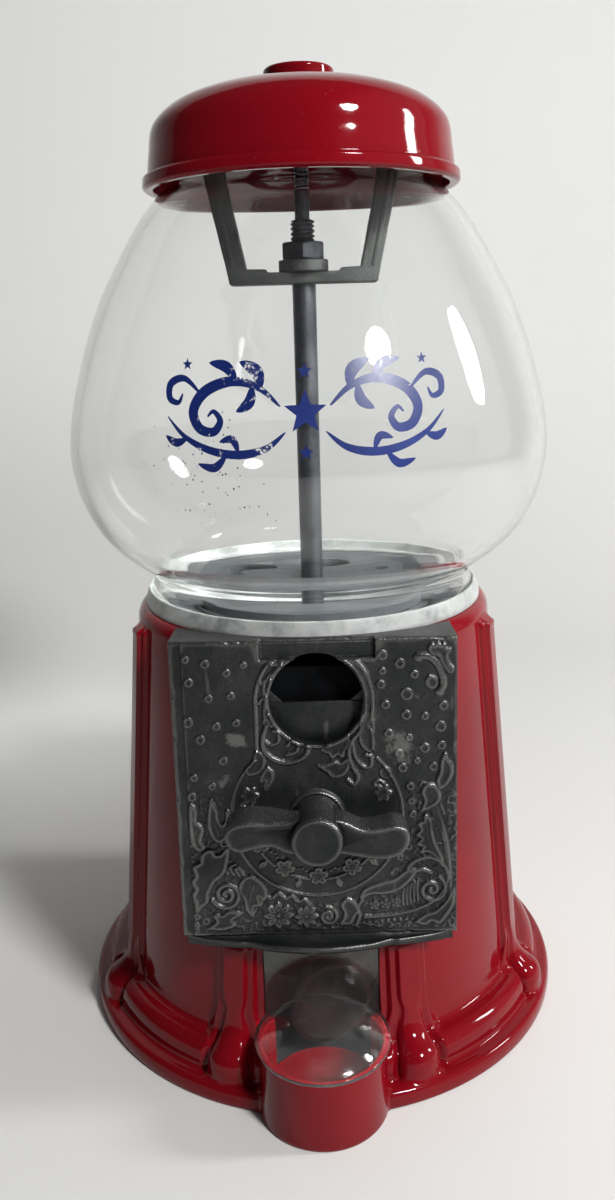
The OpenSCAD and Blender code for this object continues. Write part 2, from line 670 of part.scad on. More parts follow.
// A cross pin through the handle's hub and the shaft
cross_pin_r = 1.2;
module cross_pin(r, end) {
    translate([0, -boss_h - 4, shaft_s - end]) cylinder(h = 2 * end, r = r);
}
nose_t = 4;
module handle_shaft() color("silver") in_plate() difference() {
    along(0, shaft_s, -nose_d + nose_t, pinion_d + face_w / 2 + 0.5, shaft_r);
    cross_pin(cross_pin_r + 0.02, hub_r);
}
// One wing of the handle about the shaft, in shares of its half span and its half width
wing = curve([[0.12, 0.74], [0.31, 0.70], [0.49, 0.41], [0.68, 0.48], [0.83, 0.61], [0.95, 0.41],
    [1, -0.14], [0.94, -0.70], [0.77, -1], [0.52, -0.95], [0.28, -0.77], [0.12, -0.80]], 4);
wing_front = nose_d - 5;
module handle() color("dimgray") in_plate() difference() {
    union() {
        along(0, shaft_s, -nose_d, -boss_h - 0.6, hub_r);
        for (a = [0, 180]) translate([0, 0, shaft_s]) rotate([0, a, 0])
            slab(-wing_front, -wing_front + wing_t)
                polygon([for (p = wing) [p[0] * handle_half, p[1] * wing_half]]);
    }
    along(0, shaft_s, -nose_d + nose_t, 5, shaft_r + 0.02);
    cross_pin(cross_pin_r + 0.02, 2 * hub_r);
}
module handle_pin() color("silver") in_plate() cross_pin(cross_pin_r, hub_r - 0.6);
module coin_wheel() color("goldenrod") in_plate() difference() {
    along(0, shaft_s, coin_wheel_d, coin_wheel_d + coin_wheel_t, coin_wheel_r);
    along(0, shaft_s, 0, big, shaft_r);
    slab(0, 20) {
        translate([0, shaft_s + coin_wheel_r - 3]) circle(r = coin_r + 0.45);
        translate([-coin_r - 0.45, shaft_s + coin_wheel_r - 3]) square([2 * coin_r + 0.9, 20]);
    }
}
module ratchet_wheel() color("silver") in_plate() difference() {
    union() {
        slab(ratchet_d, ratchet_d + ratchet_t) translate([0, shaft_s]) polygon([
            for (i = [0:ratchet_teeth - 1], k = [0:1])
                let (a = (i + k * 0.86) * 360 / ratchet_teeth, r = k == 0 ? ratchet_r : ratchet_r - 2.4)
                [r * cos(a), r * sin(a)]]);
        along(0, shaft_s, ratchet_d + ratchet_t - 0.5, ratchet_d + ratchet_t + 4, shaft_r + 3);
    }
    along(0, shaft_s, 0, big, shaft_r);
}
module shaft_collar() color("silver") in_plate() difference() {
    along(0, shaft_s, bearing_d + face_gap, bearing_d + face_gap + 2.2, shaft_r + 2.6);
    along(0, shaft_s, 0, big, shaft_r);
}
pinion_outer = pinion_r + gear_m;
pinion_root = pinion_r - 1.25 * gear_m;
pinion_tooth = [
    [pinion_root, -1.5], [pinion_r, -tooth_w / 2], [pinion_outer, -0.45],
    [pinion_outer, 0.45], [pinion_r, tooth_w / 2], [pinion_root, 1.5]];
module drive_pinion() color("darkgoldenrod") in_plate() difference() {
    union() {
        along(0, shaft_s, pinion_d - face_w / 2, pinion_d + face_w / 2, pinion_root + 0.2);
        slab(pinion_d - face_w / 2, pinion_d + face_w / 2) translate([0, shaft_s])
            for (i = [0:pinion_teeth - 1]) rotate(90 + i * 360 / pinion_teeth)
                polygon(pinion_tooth);
    }
    along(0, shaft_s, 0, big, shaft_r);
}
module drive_tube() color("silver") difference() {
    translate([0, 0, crown_root_z + crown_t / 2]) cylinder(h = wheel_top_z - crown_root_z - crown_t / 2, r = tube_r);
    cylinder(h = big, r = rod_r + run_gap);
}
module crown_gear() color("darkgoldenrod") difference() {
    union() {
        translate([0, 0, crown_root_z]) cylinder(h = crown_t, r = crown_r + face_w / 2);
        translate([0, 0, crown_root_z]) cylinder(h = crown_t + crown_hub_h, r = tube_r + 3);
        for (i = [0:crown_teeth - 1]) rotate([0, 0, facing((i + 0.5) * 360 / crown_teeth)])
            translate([crown_r - face_w / 2, -tooth_w / 2, crown_tip_z])
                cube([face_w, tooth_w, crown_root_z - crown_tip_z + 1]);
    }
    translate([0, 0, crown_root_z + crown_t / 2]) cylinder(h = big, r = tube_r);
    cylinder(h = big, r = rod_r + 0.5);
}
module gumball_wheel() color("slategray") difference() {
    translate([0, 0, wheel_z]) cylinder(h = wheel_t, r = wheel_r);
    cylinder(h = big, r = tube_r);
    for (i = [0:pocket_count - 1]) rotate([0, 0, facing(outlet_az + i * 360 / pocket_count)])
        translate([pocket_ring, 0, wheel_z - 1]) cylinder(h = wheel_t + 2, r = pocket_r);
}
// Pawl and lever: a round eye, an arm and a nose, lying in x and s
module arm_outline(x1, s1, x2, s2, eye, nose) {
    a = atan2(s2 - s1, x2 - x1);
    l = norm([x2 - x1, s2 - s1]);
    translate([x1, s1]) {
        circle(r = eye);
        rotate(a) polygon([[0, -eye * 0.7], [l, -nose], [l, nose], [0, eye * 0.7]]);
    }
    translate([x2, s2]) circle(r = nose);
}
pawl_nose = 1;
pawl_reach = ratchet_r + pawl_nose + face_gap;
pawl_az = 110;
pawl_d = ratchet_d + 0.3;
module ratchet_pawl() color("silver") in_plate() difference() {
    slab(pawl_d, pawl_d + pawl_t) arm_outline(pawl_x, pawl_s,
        pawl_reach * cos(pawl_az), shaft_s + pawl_reach * sin(pawl_az), 3.4, pawl_nose);
    along(pawl_x, pawl_s, 0, 40, pawl_pin_r + run_gap);
}
module pawl_pin() color("silver") in_plate()
    along(pawl_x, pawl_s, frame_d + 0.2, pawl_d + pawl_t + 3.6, pawl_pin_r);
lever_nose = 1.5;
lever_reach = coin_wheel_r + lever_nose + face_gap;
lever_az = 45;
module coin_lever() color("silver") in_plate() difference() {
    slab(coin_wheel_d, coin_wheel_d + lever_t) arm_outline(lever_x, lever_s,
        lever_reach * cos(lever_az), shaft_s + lever_reach * sin(lever_az), 3.4, lever_nose);
    along(lever_x, lever_s, 0, 40, pawl_pin_r + run_gap);
}
module lever_pin() color("silver") in_plate()
    along(lever_x, lever_s, plate_wall + 0.4, frame_d + frame_t + 5.2, pawl_pin_r);
// A torsion spring on a pin: three touching turns and two short legs
module torsion_spring(x, s, d, leg_az) {
    turn_r = pawl_pin_r + 0.15 + spring_wire;
    translate([x, d + spring_wire, s]) rotate([-90, 0, 0]) {
        for (k = [0:2]) translate([0, 0, k * spring_wire * 1.7])
            rotate_extrude() translate([turn_r, 0]) circle(r = spring_wire, $fn = 24);
        for (k = [0, 2]) rotate([0, 0, leg_az + k * 20]) translate([turn_r, 0, k * spring_wire * 1.7])
            rotate([-90, 0, 0]) cylinder(h = 6, r = spring_wire * 0.9, $fn = 24);
    }
}
module pawl_spring() color("silver") in_plate()
    torsion_spring(pawl_x, pawl_s, pawl_d + pawl_t + 0.2, 0);
module lever_spring() color("silver") in_plate()
    torsion_spring(lever_x, lever_s, frame_d + frame_t + 0.4, 180);

// The guide: a straight drop below the outlet, and a slope from there to the cup
guide_back = 11;
module guide_path(r, top) {
    at_outlet() translate([0, 0, guide_bend_z - 6]) cylinder(h = top - guide_bend_z + 6, r = r + 0.6);
    x0 = pocket_ring * sin(outlet_az);
    y0 = -pocket_ring * cos(outlet_az);
    run = [-x0, -guide_end_y - y0, guide_end_z - guide_bend_z];
    translate([x0, y0, guide_bend_z])
        rotate([0, acos(run[2] / norm(run)), atan2(run[1], run[0])])
            translate([0, 0, -guide_back - (r - outlet_r)])
                cylinder(h = norm(run) + guide_back + 12, r = r);
}
module chute_guide() color("gray") difference() {
    union() {
        guide_path(outlet_r + guide_wall, deck_under_z);
        at_outlet() translate([0, 0, deck_under_z - 2]) cylinder(h = 2, r = outlet_r + 4);
    }
    guide_path(outlet_r, deck_under_z + 1);
    translate([-big / 2, -guide_cut_y - big, 0]) cube([big, big, big]);
    translate([0, 0, deck_under_z - deck_hub_h - bush_flange_t - 0.2])
        cylinder(h = big, r = deck_hub_r + 0.3);
}
module flap_pin() color("silver") translate([-chute_half - 2.4, -hinge_y, hinge_z])
    rotate([0, 90, 0]) cylinder(h = 2 * chute_half + 4.8, r = hinge_pin_r);
module dome(r) {
    translate([0, -cup_y, flap_rim_z + dome_h - dome_r]) sphere(r = r);
}
module chute_flap() color("whitesmoke", 0.5) difference() {
    union() {
        intersection() {
            difference() {
                union() {
                    dome(dome_r);
                    translate([0, -cup_y, flap_rim_z]) cylinder(h = flap_wall, r = flap_r);
                }
                dome(dome_r - flap_wall);
            }
            translate([-big / 2, -big - panel_y + flap_wall, flap_rim_z]) cube([big, big, big]);
        }
        difference() {
            translate([-panel_half, -panel_y, flap_rim_z])
                cube([2 * panel_half, flap_wall, hinge_z - flap_rim_z]);
            dome(dome_r - flap_wall);
        }
        translate([-panel_half, -panel_y, hinge_z - flap_wall - 1.4])
            cube([2 * panel_half, panel_y - hinge_y, flap_wall]);
        translate([-panel_half, -hinge_y, hinge_z]) rotate([0, 90, 0])
            cylinder(h = 2 * panel_half, r = barrel_r);
    }
    translate([-big / 2, -hinge_y, hinge_z]) rotate([0, 90, 0])
        cylinder(h = big, r = hinge_pin_r + run_gap);
}

base_casting();
bottom_plate();
bottom_washer();
bottom_nut();
hopper_deck();
deck_floor();
wheel_bush();
guard_plate();
guard_screws();
globe_gasket();
globe();
globe_bracket();
bracket_washer();
bracket_nut();
center_rod();
lid();
knob_washer();
lid_knob();
faceplate();
faceplate_screws();
handle_bushing();
coin_lip();
mech_frame();
mech_screws();
pawl_pin();
pawl_spring();
lever_pin();
lever_spring();
chute_guide();
flap_pin();
chute_flap();
handle();
handle_pin();
handle_shaft();
coin_wheel();
ratchet_wheel();
shaft_collar();
drive_pinion();
gumball_wheel();
drive_tube();
crown_gear();
ratchet_pawl();
coin_lever();
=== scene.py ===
# %% [markdown]
# # A counter-top gumball machine
#
# This lesson dresses a finished mechanical model in Blender. The model brings every solid in its
# real place, in metres. Each cell below makes one piece or one finish of the real machine: the
# enamelled base and lid, the blown globe, the cast faceplate with its handle, and the clear flap.
# The machine stands on z = 0 with the globe's axis on z, and its coin mechanism faces -y.

# %% Load the model
import bmesh
import bpy
import json
import math
import numpy as np
from mathutils import Matrix, Vector


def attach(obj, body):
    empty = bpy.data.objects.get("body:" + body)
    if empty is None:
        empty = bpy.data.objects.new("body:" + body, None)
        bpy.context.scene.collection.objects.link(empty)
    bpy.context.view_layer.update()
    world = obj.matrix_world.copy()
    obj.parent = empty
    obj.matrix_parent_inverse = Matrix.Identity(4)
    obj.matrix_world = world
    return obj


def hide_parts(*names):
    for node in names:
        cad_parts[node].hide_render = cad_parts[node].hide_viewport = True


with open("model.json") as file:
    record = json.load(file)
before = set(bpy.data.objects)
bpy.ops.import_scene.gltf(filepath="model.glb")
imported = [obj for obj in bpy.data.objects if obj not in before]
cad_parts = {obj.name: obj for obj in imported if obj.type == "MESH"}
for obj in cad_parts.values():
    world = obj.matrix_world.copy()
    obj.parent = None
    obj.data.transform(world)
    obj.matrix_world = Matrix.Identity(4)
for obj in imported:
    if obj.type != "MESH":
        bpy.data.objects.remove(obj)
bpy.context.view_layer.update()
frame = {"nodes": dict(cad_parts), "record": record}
nodes = frame["nodes"]
MM = 0.001

# %% [markdown]
# ## The camera
#
# A phone held a little above the machine looks down at it from less than half a metre, so the
# globe looks large and the foot narrows. The camera's axes are worked out from its yaw, pitch and
# roll, because that keeps one clear meaning for each angle. Euler angles would also do, but their
# order is easy to get wrong.

# %% Camera
def look(place, yaw, pitch, roll):
    """A camera matrix: yaw turns it to the right, pitch down, and roll tips the picture."""
    ahead = Vector((math.sin(yaw) * math.cos(pitch), math.cos(yaw) * math.cos(pitch), -math.sin(pitch)))
    right = Vector((math.cos(yaw), -math.sin(yaw), 0))
    up = right.cross(ahead)
    tipped_right = right * math.cos(roll) - up * math.sin(roll)
    tipped_up = right * math.sin(roll) + up * math.cos(roll)
    matrix = Matrix((tipped_right, tipped_up, -ahead)).transposed().to_4x4()
    matrix.translation = Vector(place) * MM
    return matrix


scene = bpy.context.scene
camera = bpy.data.objects.new("camera", bpy.data.cameras.new("camera"))
scene.collection.objects.link(camera)
camera.matrix_world = look((3.135, -414.1, 288.8), -0.013, 0.271, 0.029)
camera.data.sensor_width = 36
camera.data.lens = 29.86
camera.data.clip_start = 0.01
scene.camera = camera
scene.view_settings.view_transform = "Standard"
print("camera at", tuple(round(v, 3) for v in camera.matrix_world.translation))

# %% [markdown]
# ## Shader maths as Python
#
# A finish is easier to read as an expression than as a list of nodes. `Wire` wraps one output
# socket, and adding, subtracting or multiplying wires adds the Math nodes. `Finish` holds one
# material and has a single method that makes any other node: settings go in first, because some
# nodes change their sockets with them, and then the values or wires of its sockets.

# %% Wires and finishes
class Wire:
    """An output socket that understands arithmetic."""

    def __init__(self, finish, socket):
        self.finish = finish
        self.socket = socket

    def maths(self, operation, *values):
        return self.finish.node("Math", {"operation": operation}, dict(enumerate(values)))

    def __add__(self, other):
        return self.maths("ADD", self, other)

    __radd__ = __add__

    def __mul__(self, other):
        return self.maths("MULTIPLY", self, other)

    __rmul__ = __mul__

    def __sub__(self, other):
        return self.maths("SUBTRACT", self, other)

    def __rsub__(self, other):
        return self.maths("SUBTRACT", other, self)

    def most(self, other):
        return self.maths("MAXIMUM", self, other)

    def rise(self, low, high):
        """0 at low, 1 at high, with a smooth run between them."""
        ends = {"From Min": low, "From Max": high}
        return self.finish.node("MapRange", {"interpolation_type": "SMOOTHSTEP"}, {"Value": self, **ends})


class Finish:
    """One node material in the making."""

    def __init__(self, name):
        self.material = bpy.data.materials.new(name)
        self.material.use_nodes = True
        self.tree = self.material.node_tree
        self.tree.nodes.clear()

    def feed(self, socket, value):
        if isinstance(value, Wire):
            self.tree.links.new(value.socket, socket)
        elif socket.type == "RGBA":
            socket.default_value = (*value, 1)
        else:
            socket.default_value = value

    def node(self, kind, settings, sockets, output=0):
        made = self.tree.nodes.new("ShaderNode" + kind)
        for key, value in settings.items():
            setattr(made, key, value)
        for key, value in sockets.items():
            self.feed(made.inputs[key], value)
        return Wire(self, made.outputs[output])

    def place(self):
        """Where a point lies on the machine, in metres."""
        return self.node("TexCoord", {}, {}, "Object")

    def noise(self, scale, detail=4.0, rough=0.55, stretch=(1, 1, 1)):
        """Cloudy noise from 0 to 1, scale being the number of clouds to a metre."""
        at = self.node("Mapping", {}, {"Vector": self.place(), "Scale": stretch})
        return self.node("TexNoise", {}, {"Vector": at, "Scale": scale, "Detail": detail, "Roughness": rough})

    def colour(self, mask, first, second):
        """first where mask is 0, second where it is 1."""
        return self.node("Mix", {"data_type": "RGBA"}, {0: mask, 6: first, 7: second}, 2)

    def bump(self, height, depth):
        """A normal from a height of 0 to 1 that stands for depth in metres."""
        return self.node("Bump", {}, {"Height": height, "Distance": depth, "Strength": 1.0})

    def show(self, surface):
        output = self.tree.nodes.new("ShaderNodeOutputMaterial")
        self.tree.links.new(surface.socket, output.inputs["Surface"])
        return self.material

    def principled(self, **sockets):
        return self.node("BsdfPrincipled", {}, {k.replace("_", " "): v for k, v in sockets.items()})


print("Wire and Finish are ready")

# %% [markdown]
# ## Red enamel
#
# The base, the lid and its knob are dipped in thick glossy enamel. Its deep red pools a little
# darker in places, and its skin has a faint orange-peel wave that bends reflections. A clear coat
# over a rough red base would also give gloss. One layer with low roughness is closer to real
# enamel, which has no second layer, and a few dust specks and rubbed spots break it up.

# %% Enamel
def red_enamel():
    f = Finish("red_enamel")
    pool = f.noise(14, 2)
    specks = f.noise(900, 1, 0.4).rise(0.74, 0.80)
    rubbed = f.noise(30, 5, 0.7).rise(0.52, 0.80)
    colour = f.colour(pool.rise(0.3, 0.7), (0.140, 0.0018, 0.0048), (0.185, 0.0026, 0.0075))
    colour = f.colour(specks * 0.25, colour, (0.34, 0.10, 0.09))
    skin = f.bump(f.noise(260, 1, 0.4), 0.00004)
    return f.show(f.principled(
        Base_Color=colour, Roughness=rubbed * 0.08 + specks * 0.2 + 0.06, Normal=skin,
        IOR=1.46, Specular_IOR_Level=0.26))


enamel = red_enamel()
print("enamel has", len(enamel.node_tree.nodes), "nodes")

# %% [markdown]
# ## Metals
#
# Several metals show. The faceplate and handle are a grey die casting that has darkened, with paler
# rubbed edges that also carry a painted highlight, and hollows darkened by dirt and painted shade.
# The bracket in the globe is a rougher dark casting, and the frame behind the coin window is
# blackened. The rod and its nut are dark oiled steel, and the small hardware is plain zinc-plated
# steel or brass. They differ in tone, roughness and grain, so one function with a few numbers makes
# the plain ones.

# %% Plain metals
def metal(name, dark, light, rough, grain, wave, metallic=1.0):
    f = Finish(name)
    cloud = f.noise(45, 5, 0.6)
    fine = f.noise(grain, 3, 0.6)
    colour = f.colour(cloud.rise(0.30, 0.70), dark, light)
    stain = f.noise(120, 4, 0.7).rise(0.58, 0.75)
    colour = f.colour(stain * 0.35, colour, tuple(0.45 * c for c in dark))
    return f.show(f.principled(
        Base_Color=colour, Metallic=metallic, Roughness=fine * 0.22 + stain * 0.15 + (rough - 0.1),
        Normal=f.bump(fine, wave)))


dark_casting = metal("dark_casting", (0.046, 0.049, 0.048), (0.098, 0.104, 0.098), 0.55, 900, 0.00025,
                     metallic=0.55)
blackened = metal("blackened_casting", (0.0022, 0.0026, 0.0032), (0.006, 0.007, 0.0085), 0.66, 900, 0.00025,
                  metallic=0.9)
dark_steel = metal("dark_steel", (0.06, 0.065, 0.075), (0.17, 0.175, 0.19), 0.34, 1400, 0.00005)
steel = metal("steel", (0.36, 0.36, 0.36), (0.58, 0.58, 0.57), 0.30, 1500, 0.00004)
zinc_sheet = metal("zinc_sheet", (0.068, 0.075, 0.078), (0.120, 0.128, 0.131), 0.46, 500, 0.00005, metallic=0.6)
brass = metal("brass", (0.42, 0.27, 0.09), (0.62, 0.42, 0.16), 0.32, 1200, 0.00004)
print("plain metals", [m.name for m in (dark_casting, blackened, dark_steel, steel, zinc_sheet, brass)])

# %% [markdown]
# ## Plastics and rubber
#
# The wheel is a matt grey moulding with fine pits and dust. The gasket is milky and lets some
# light in, which subsurface scattering gives. It could be drawn as plain white, but then the lit
# edge of the ring would look like paper.

# %% Plastics
def plastic(name, dark, light, rough, dusty, shine=0.5):
    f = Finish(name)
    cloud = f.noise(35, 4)
    dust = f.noise(260, 6, 0.75).rise(0.50, 0.72)
    colour = f.colour(cloud.rise(0.3, 0.7), dark, light)
    colour = f.colour(dust * dusty, colour, (0.45, 0.44, 0.42))
    return f.show(f.principled(Base_Color=colour, Roughness=dust * 0.18 + rough, Specular_IOR_Level=shine,
                               Normal=f.bump(f.noise(1300, 3), 0.00006)))


def milky():
    f = Finish("milky_rubber")
    colour = f.colour(f.noise(60, 5, 0.7).rise(0.4, 0.75), (0.43, 0.44, 0.43), (0.17, 0.182, 0.178))
    return f.show(f.principled(
        Base_Color=colour, Roughness=f.noise(90) * 0.2 + 0.28, Subsurface_Weight=0.6,
        Subsurface_Radius=(0.6, 0.6, 0.55), Subsurface_Scale=0.004, Normal=f.bump(f.noise(300), 0.0001)))


grey_plastic = plastic("grey_plastic", (0.046, 0.052, 0.057), (0.070, 0.077, 0.082), 0.42, dusty=0.10)
# Tinted dark red: painted shade that stands for the base's red inside in shadow, seen through the flap.
black_plastic = plastic("black_plastic", (0.008, 0.0024, 0.0034), (0.013, 0.0045, 0.006), 0.70, dusty=0.01,
                        shine=0.06)
milky_rubber = milky()
print("plastics", [m.name for m in (grey_plastic, black_plastic, milky_rubber)])

# %% [markdown]
# ## Clear glass and clear plastic
#
# Both are real refracting solids with two walls, because the bright and dark lines at the globe's
# contour come from refraction. A refracting shader blocks the lamps' light, so shadow rays go
# straight through a Transparent shader instead. The glass is faintly green, has a few hanging
# smears, and the plastic of the flap is yellower and scratched.

# %% Clear finishes
def clear(name, tint, ior, rough, haze, film):
    f = Finish(name)
    smear = f.noise(28, 5, 0.65, (1, 1, 0.5)).rise(0.55, 0.80)
    fine = f.noise(700, 2).rise(0.66, 0.76)
    body = f.principled(
        Base_Color=tint, Roughness=smear * haze + fine * haze + rough, IOR=ior, Transmission_Weight=1.0)
    through = f.node("BsdfTransparent", {}, {"Color": tint})
    shadow = f.node("LightPath", {}, {}, "Is Shadow Ray")
    glassy = f.node("MixShader", {}, {0: shadow, 1: body, 2: through})
    scuffed = f.principled(Base_Color=(0.82, 0.81, 0.79), Roughness=0.42)
    worn = (smear * 0.7 + f.noise(420, 5, 0.7).rise(0.45, 0.75) * 0.5 + 0.25) * film
    return f.show(f.node("MixShader", {}, {0: worn, 1: glassy, 2: scuffed}))


globe_glass = clear("globe_glass", (0.985, 0.992, 0.988), 1.5, 0.0, 0.03, 0.006)
clear_plastic = clear("clear_plastic", (0.97, 0.965, 0.955), 1.49, 0.02, 0.10, 0.03)
print("clear finishes", globe_glass.name, clear_plastic.name)

# %% [markdown]
# ## From numbers to meshes
#
# Most pieces are a profile swept round an axis, so the helpers below work in millimetres and turn
# grids of points into meshes. A sweep through a smooth curve needs few numbers. `curve` is the
# same smooth curve that the model's own solids use, so that glass and lid match them.

# %% Mesh helpers
def piece(name, points, faces, finish, body, sharp=35):
    """A mesh object from points in millimetres that rides on a body of the machine."""
    mesh = bpy.data.meshes.new(name)
    points = np.asarray(points, float) * MM
    sizes = np.array([len(face) for face in faces], np.int32)
    mesh.vertices.add(len(points))
    mesh.vertices.foreach_set("co", points.ravel())
    mesh.loops.add(int(sizes.sum()))
    mesh.loops.foreach_set("vertex_index", np.concatenate([np.asarray(face) for face in faces]).astype(np.int32))
    mesh.polygons.add(len(faces))
    mesh.polygons.foreach_set("loop_start", np.concatenate([[0], np.cumsum(sizes)[:-1]]).astype(np.int32))
    mesh.update(calc_edges=True)
    mesh.validate()
    face_outward(mesh)
    obj = bpy.data.objects.new(name, mesh)
    scene.collection.objects.link(obj)
    mesh.materials.append(finish)
    smooth(obj, sharp)
    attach(obj, body)
    return obj


def face_outward(mesh):
    """Turns every face of a closed mesh to look outward, which glass and Booleans rely on."""
    work = bmesh.new()
    work.from_mesh(mesh)
    bmesh.ops.recalc_face_normals(work, faces=work.faces)
    work.to_mesh(mesh)
    work.free()


def smooth(obj, angle):
    """Smooth shading, with edges kept sharp where faces meet at more than angle degrees."""
    mesh = obj.data
    mesh.polygons.foreach_set("use_smooth", [True] * len(mesh.polygons))
    mesh.set_sharp_from_angle(angle=math.radians(angle))


def grid_faces(rows, columns, close_rows=False, close_columns=False):
    """Quads of a grid of points stored row by row."""
    r = np.arange(rows if close_rows else rows - 1)
    c = np.arange(columns if close_columns else columns - 1)
    r, c = [a.ravel() for a in np.meshgrid(r, c, indexing="ij")]
    r2, c2 = (r + 1) % rows, (c + 1) % columns
    return np.stack([r * columns + c, r2 * columns + c, r2 * columns + c2, r * columns + c2], 1)


def tube_faces(rows, columns):
    """Faces of a tube stored ring by ring, with a flat cap at each end."""
    sides = [tuple(f) for f in grid_faces(rows, columns, False, True)]
    return sides + [tuple(range(columns)), tuple(range((rows - 1) * columns, rows * columns))]


def prism_faces(n):
    """Faces of a prism of n sides whose points are stored end after end."""
    sides = [(i, (i + 1) % n, n + (i + 1) % n, n + i) for i in range(n)]
    return sides + [tuple(range(n)), tuple(range(n, 2 * n))]


def full_turn(steps):
    """Angles of a full turn in equal steps."""
    return np.arange(steps) * 2 * math.pi / steps


def curve(points, n):
    """The smooth curve through a list of points, n steps from each to the next."""
    p = np.asarray(points, float)
    last = len(p) - 1
    found = []
    for i in range(last):
        a, b, c, d = p[max(i - 1, 0)], p[i], p[i + 1], p[min(i + 2, last)]
        for k in range(n):
            t = k / n
            found.append(0.5 * (2 * b + (c - a) * t + (2 * a - 5 * b + 4 * c - d) * t * t
                                + (3 * b - a - 3 * c + d) * t ** 3))
    return np.array(found + [p[last]])


def inset(path, t):
    """A curve moved sideways by t, to the left of its direction when t is positive."""
    p = np.asarray(path)
    way = np.vstack([p[1] - p[0], p[2:] - p[:-2], p[-1] - p[-2]])
    way /= np.linalg.norm(way, axis=1)[:, None]
    return p + np.stack([-way[:, 1], way[:, 0]], 1) * t


def rounded(corners, radius, n=5, closed=True):
    """A polygon with its corners rounded. Each corner may be (a, b) or (a, b, its own radius)."""
    count = len(corners)
    path = []
    for i, corner in enumerate(corners):
        here = np.array(corner[:2], float)
        r = corner[2] if len(corner) > 2 else radius
        if (not closed and i in (0, count - 1)) or r <= 0:
            path.append(here)
            continue
        before = np.array(corners[i - 1][:2], float) - here
        after = np.array(corners[(i + 1) % count][:2], float) - here
        lb, la = np.linalg.norm(before), np.linalg.norm(after)
        turn = math.acos(np.clip(before @ after / (lb * la), -1, 1))
        reach = min(r / math.tan(turn / 2), 0.48 * lb, 0.48 * la)
        a, b = here + before / lb * reach, here + after / la * reach
        for t in np.linspace(0, 1, n):
            path.append((1 - t) ** 2 * a + 2 * t * (1 - t) * here + t * t * b)
    return np.array(path)


def lathe(name, profile, finish, body, steps=192, sharp=35, centre=(0, 0)):
    """A closed profile of radius and height swept round a vertical axis."""
    profile = np.asarray(profile, float)
    angle = full_turn(steps)
    x = np.cos(angle)[:, None] * profile[None, :, 0] + centre[0]
    y = np.sin(angle)[:, None] * profile[None, :, 0] + centre[1]
    z = np.broadcast_to(profile[None, :, 1], x.shape)
    points = np.stack([x, y, z], 2).reshape(-1, 3)
    return piece(name, points, grid_faces(steps, len(profile), True, True)[:, ::-1], finish, body, sharp)


print("mesh helpers are ready")

# %% [markdown]
# ## The sizes that pieces share
#
# These repeat the mechanical model's own sizes, so that every visual piece ends where its solid
# ends. The base tapers from its foot to its top, and `cone` gives that line.

# %% Shared sizes
BASE_R, FOOT_R, FOOT_Z, TOP_R, SHOULDER_Z, BASE_H = 105.0, 88.0, 21.0, 74.3, 172.0, 178.0
CUP_Y, CUP_R, CUP_H, PANEL_Y = 96.5, 25.0, 28.5, 83.0
GLOBE_Z, MOUTH_Z, NECK_R, GLOBE_R, MOUTH_R, GLASS = 179.5, 352.0, 67.6, 96.0, 46.0, 3.0
LID_Z, LID_TOP, LID_R = 338.5, 375.5, 58.8
PLATE_Y, PLATE_Z, PLATE_TILT, PLATE_HALF, PLATE_H = 84.9965, 67.0, math.radians(3.9974), 51.5, 114.278
SHAFT_S, WINDOW_X, WINDOW_S, WINDOW_R, DIAL_R, BUSH_R = 47.5, 0.8, 92.0, 16.8, 32.5, 6.2


def cone(z):
    return FOOT_R + (TOP_R - FOOT_R) * (z - FOOT_Z) / (SHOULDER_Z - FOOT_Z)


def in_plate(points):
    """From the faceplate's frame (right, deeper, up the slope) to the machine's."""
    p = np.asarray(points, float)
    c, s = math.cos(PLATE_TILT), math.sin(PLATE_TILT)
    return np.stack([p[:, 0], -PLATE_Y + p[:, 1] * c + p[:, 2] * s, PLATE_Z - p[:, 1] * s + p[:, 2] * c], 1)


print("cone radius at the plate's edge:", round(cone(PLATE_Z), 2), "mm")

# %% [markdown]
# ## The base casting
#
# The real base is one iron casting: a flange, eight fluted columns that spread into feet, and a
# fat roll between each two feet. Enamel rounds every edge. It could be modelled from boxes and
# bevels, but the flutes run into the feet in one smooth flow. So the skin is a grid: each row is
# an azimuth and each column a station along the profile. Four profiles, of the roll, the low gap
# beside a foot, the strip and the main rib, are mixed by smooth weights of the azimuth.

# %% Base profiles
RIM = [(103.6, 0.0), (104.7, 0.5), (105.0, 1.8), (104.9, 4.2), (104.4, 5.9), (103.3, 7.0)]
ROLL = [(101.0, 7.4), (99.4, 7.9), (98.7, 9.4), (98.5, 12.0), (97.9, 14.8), (96.4, 17.0), (94.2, 18.3),
        (91.6, 18.6), (89.4, 19.3), (88.3, 21.5), (87.5, 27.0)]
GAP = [(101.4, 7.4), (99.0, 7.7), (97.4, 8.6), (96.6, 10.8), (96.0, 13.4), (94.6, 15.6), (92.6, 17.0),
       (90.4, 18.0), (88.8, 19.4), (88.0, 22.0), (87.4, 27.5)]
STRIP = [(102.2, 7.6), (101.0, 8.4), (100.4, 10.0), (100.1, 12.4), (99.2, 14.8), (97.4, 16.8), (95.2, 18.6),
         (93.0, 20.8), (91.3, 24.0), (90.1, 28.2), (89.2, 32.5)]
RIB = [(103.0, 7.6), (102.7, 8.6), (102.8, 10.4), (102.7, 13.2), (101.8, 16.0), (99.9, 18.2), (97.2, 19.9),
       (94.4, 22.2), (92.3, 25.4), (91.2, 29.6), (90.6, 33.5)]
WALL = [38.0, 46.0, 54.0, 58.0, 61.0, 63.0, 66.0, 72.0, 90.0, 110.0, 130.0, 150.0, 162.0, 168.0, 171.2]
CROWN = [(0.15, 173.6), (0.75, 175.4), (1.7, 176.8), (3.0, 177.7), (4.6, 178.0)]


def base_profile(feet, off):
    wall = [(cone(z) + off, z) for z in WALL]
    crown = [(TOP_R - drop, z) for drop, z in CROWN]
    return curve(RIM + feet + wall + crown, 4)


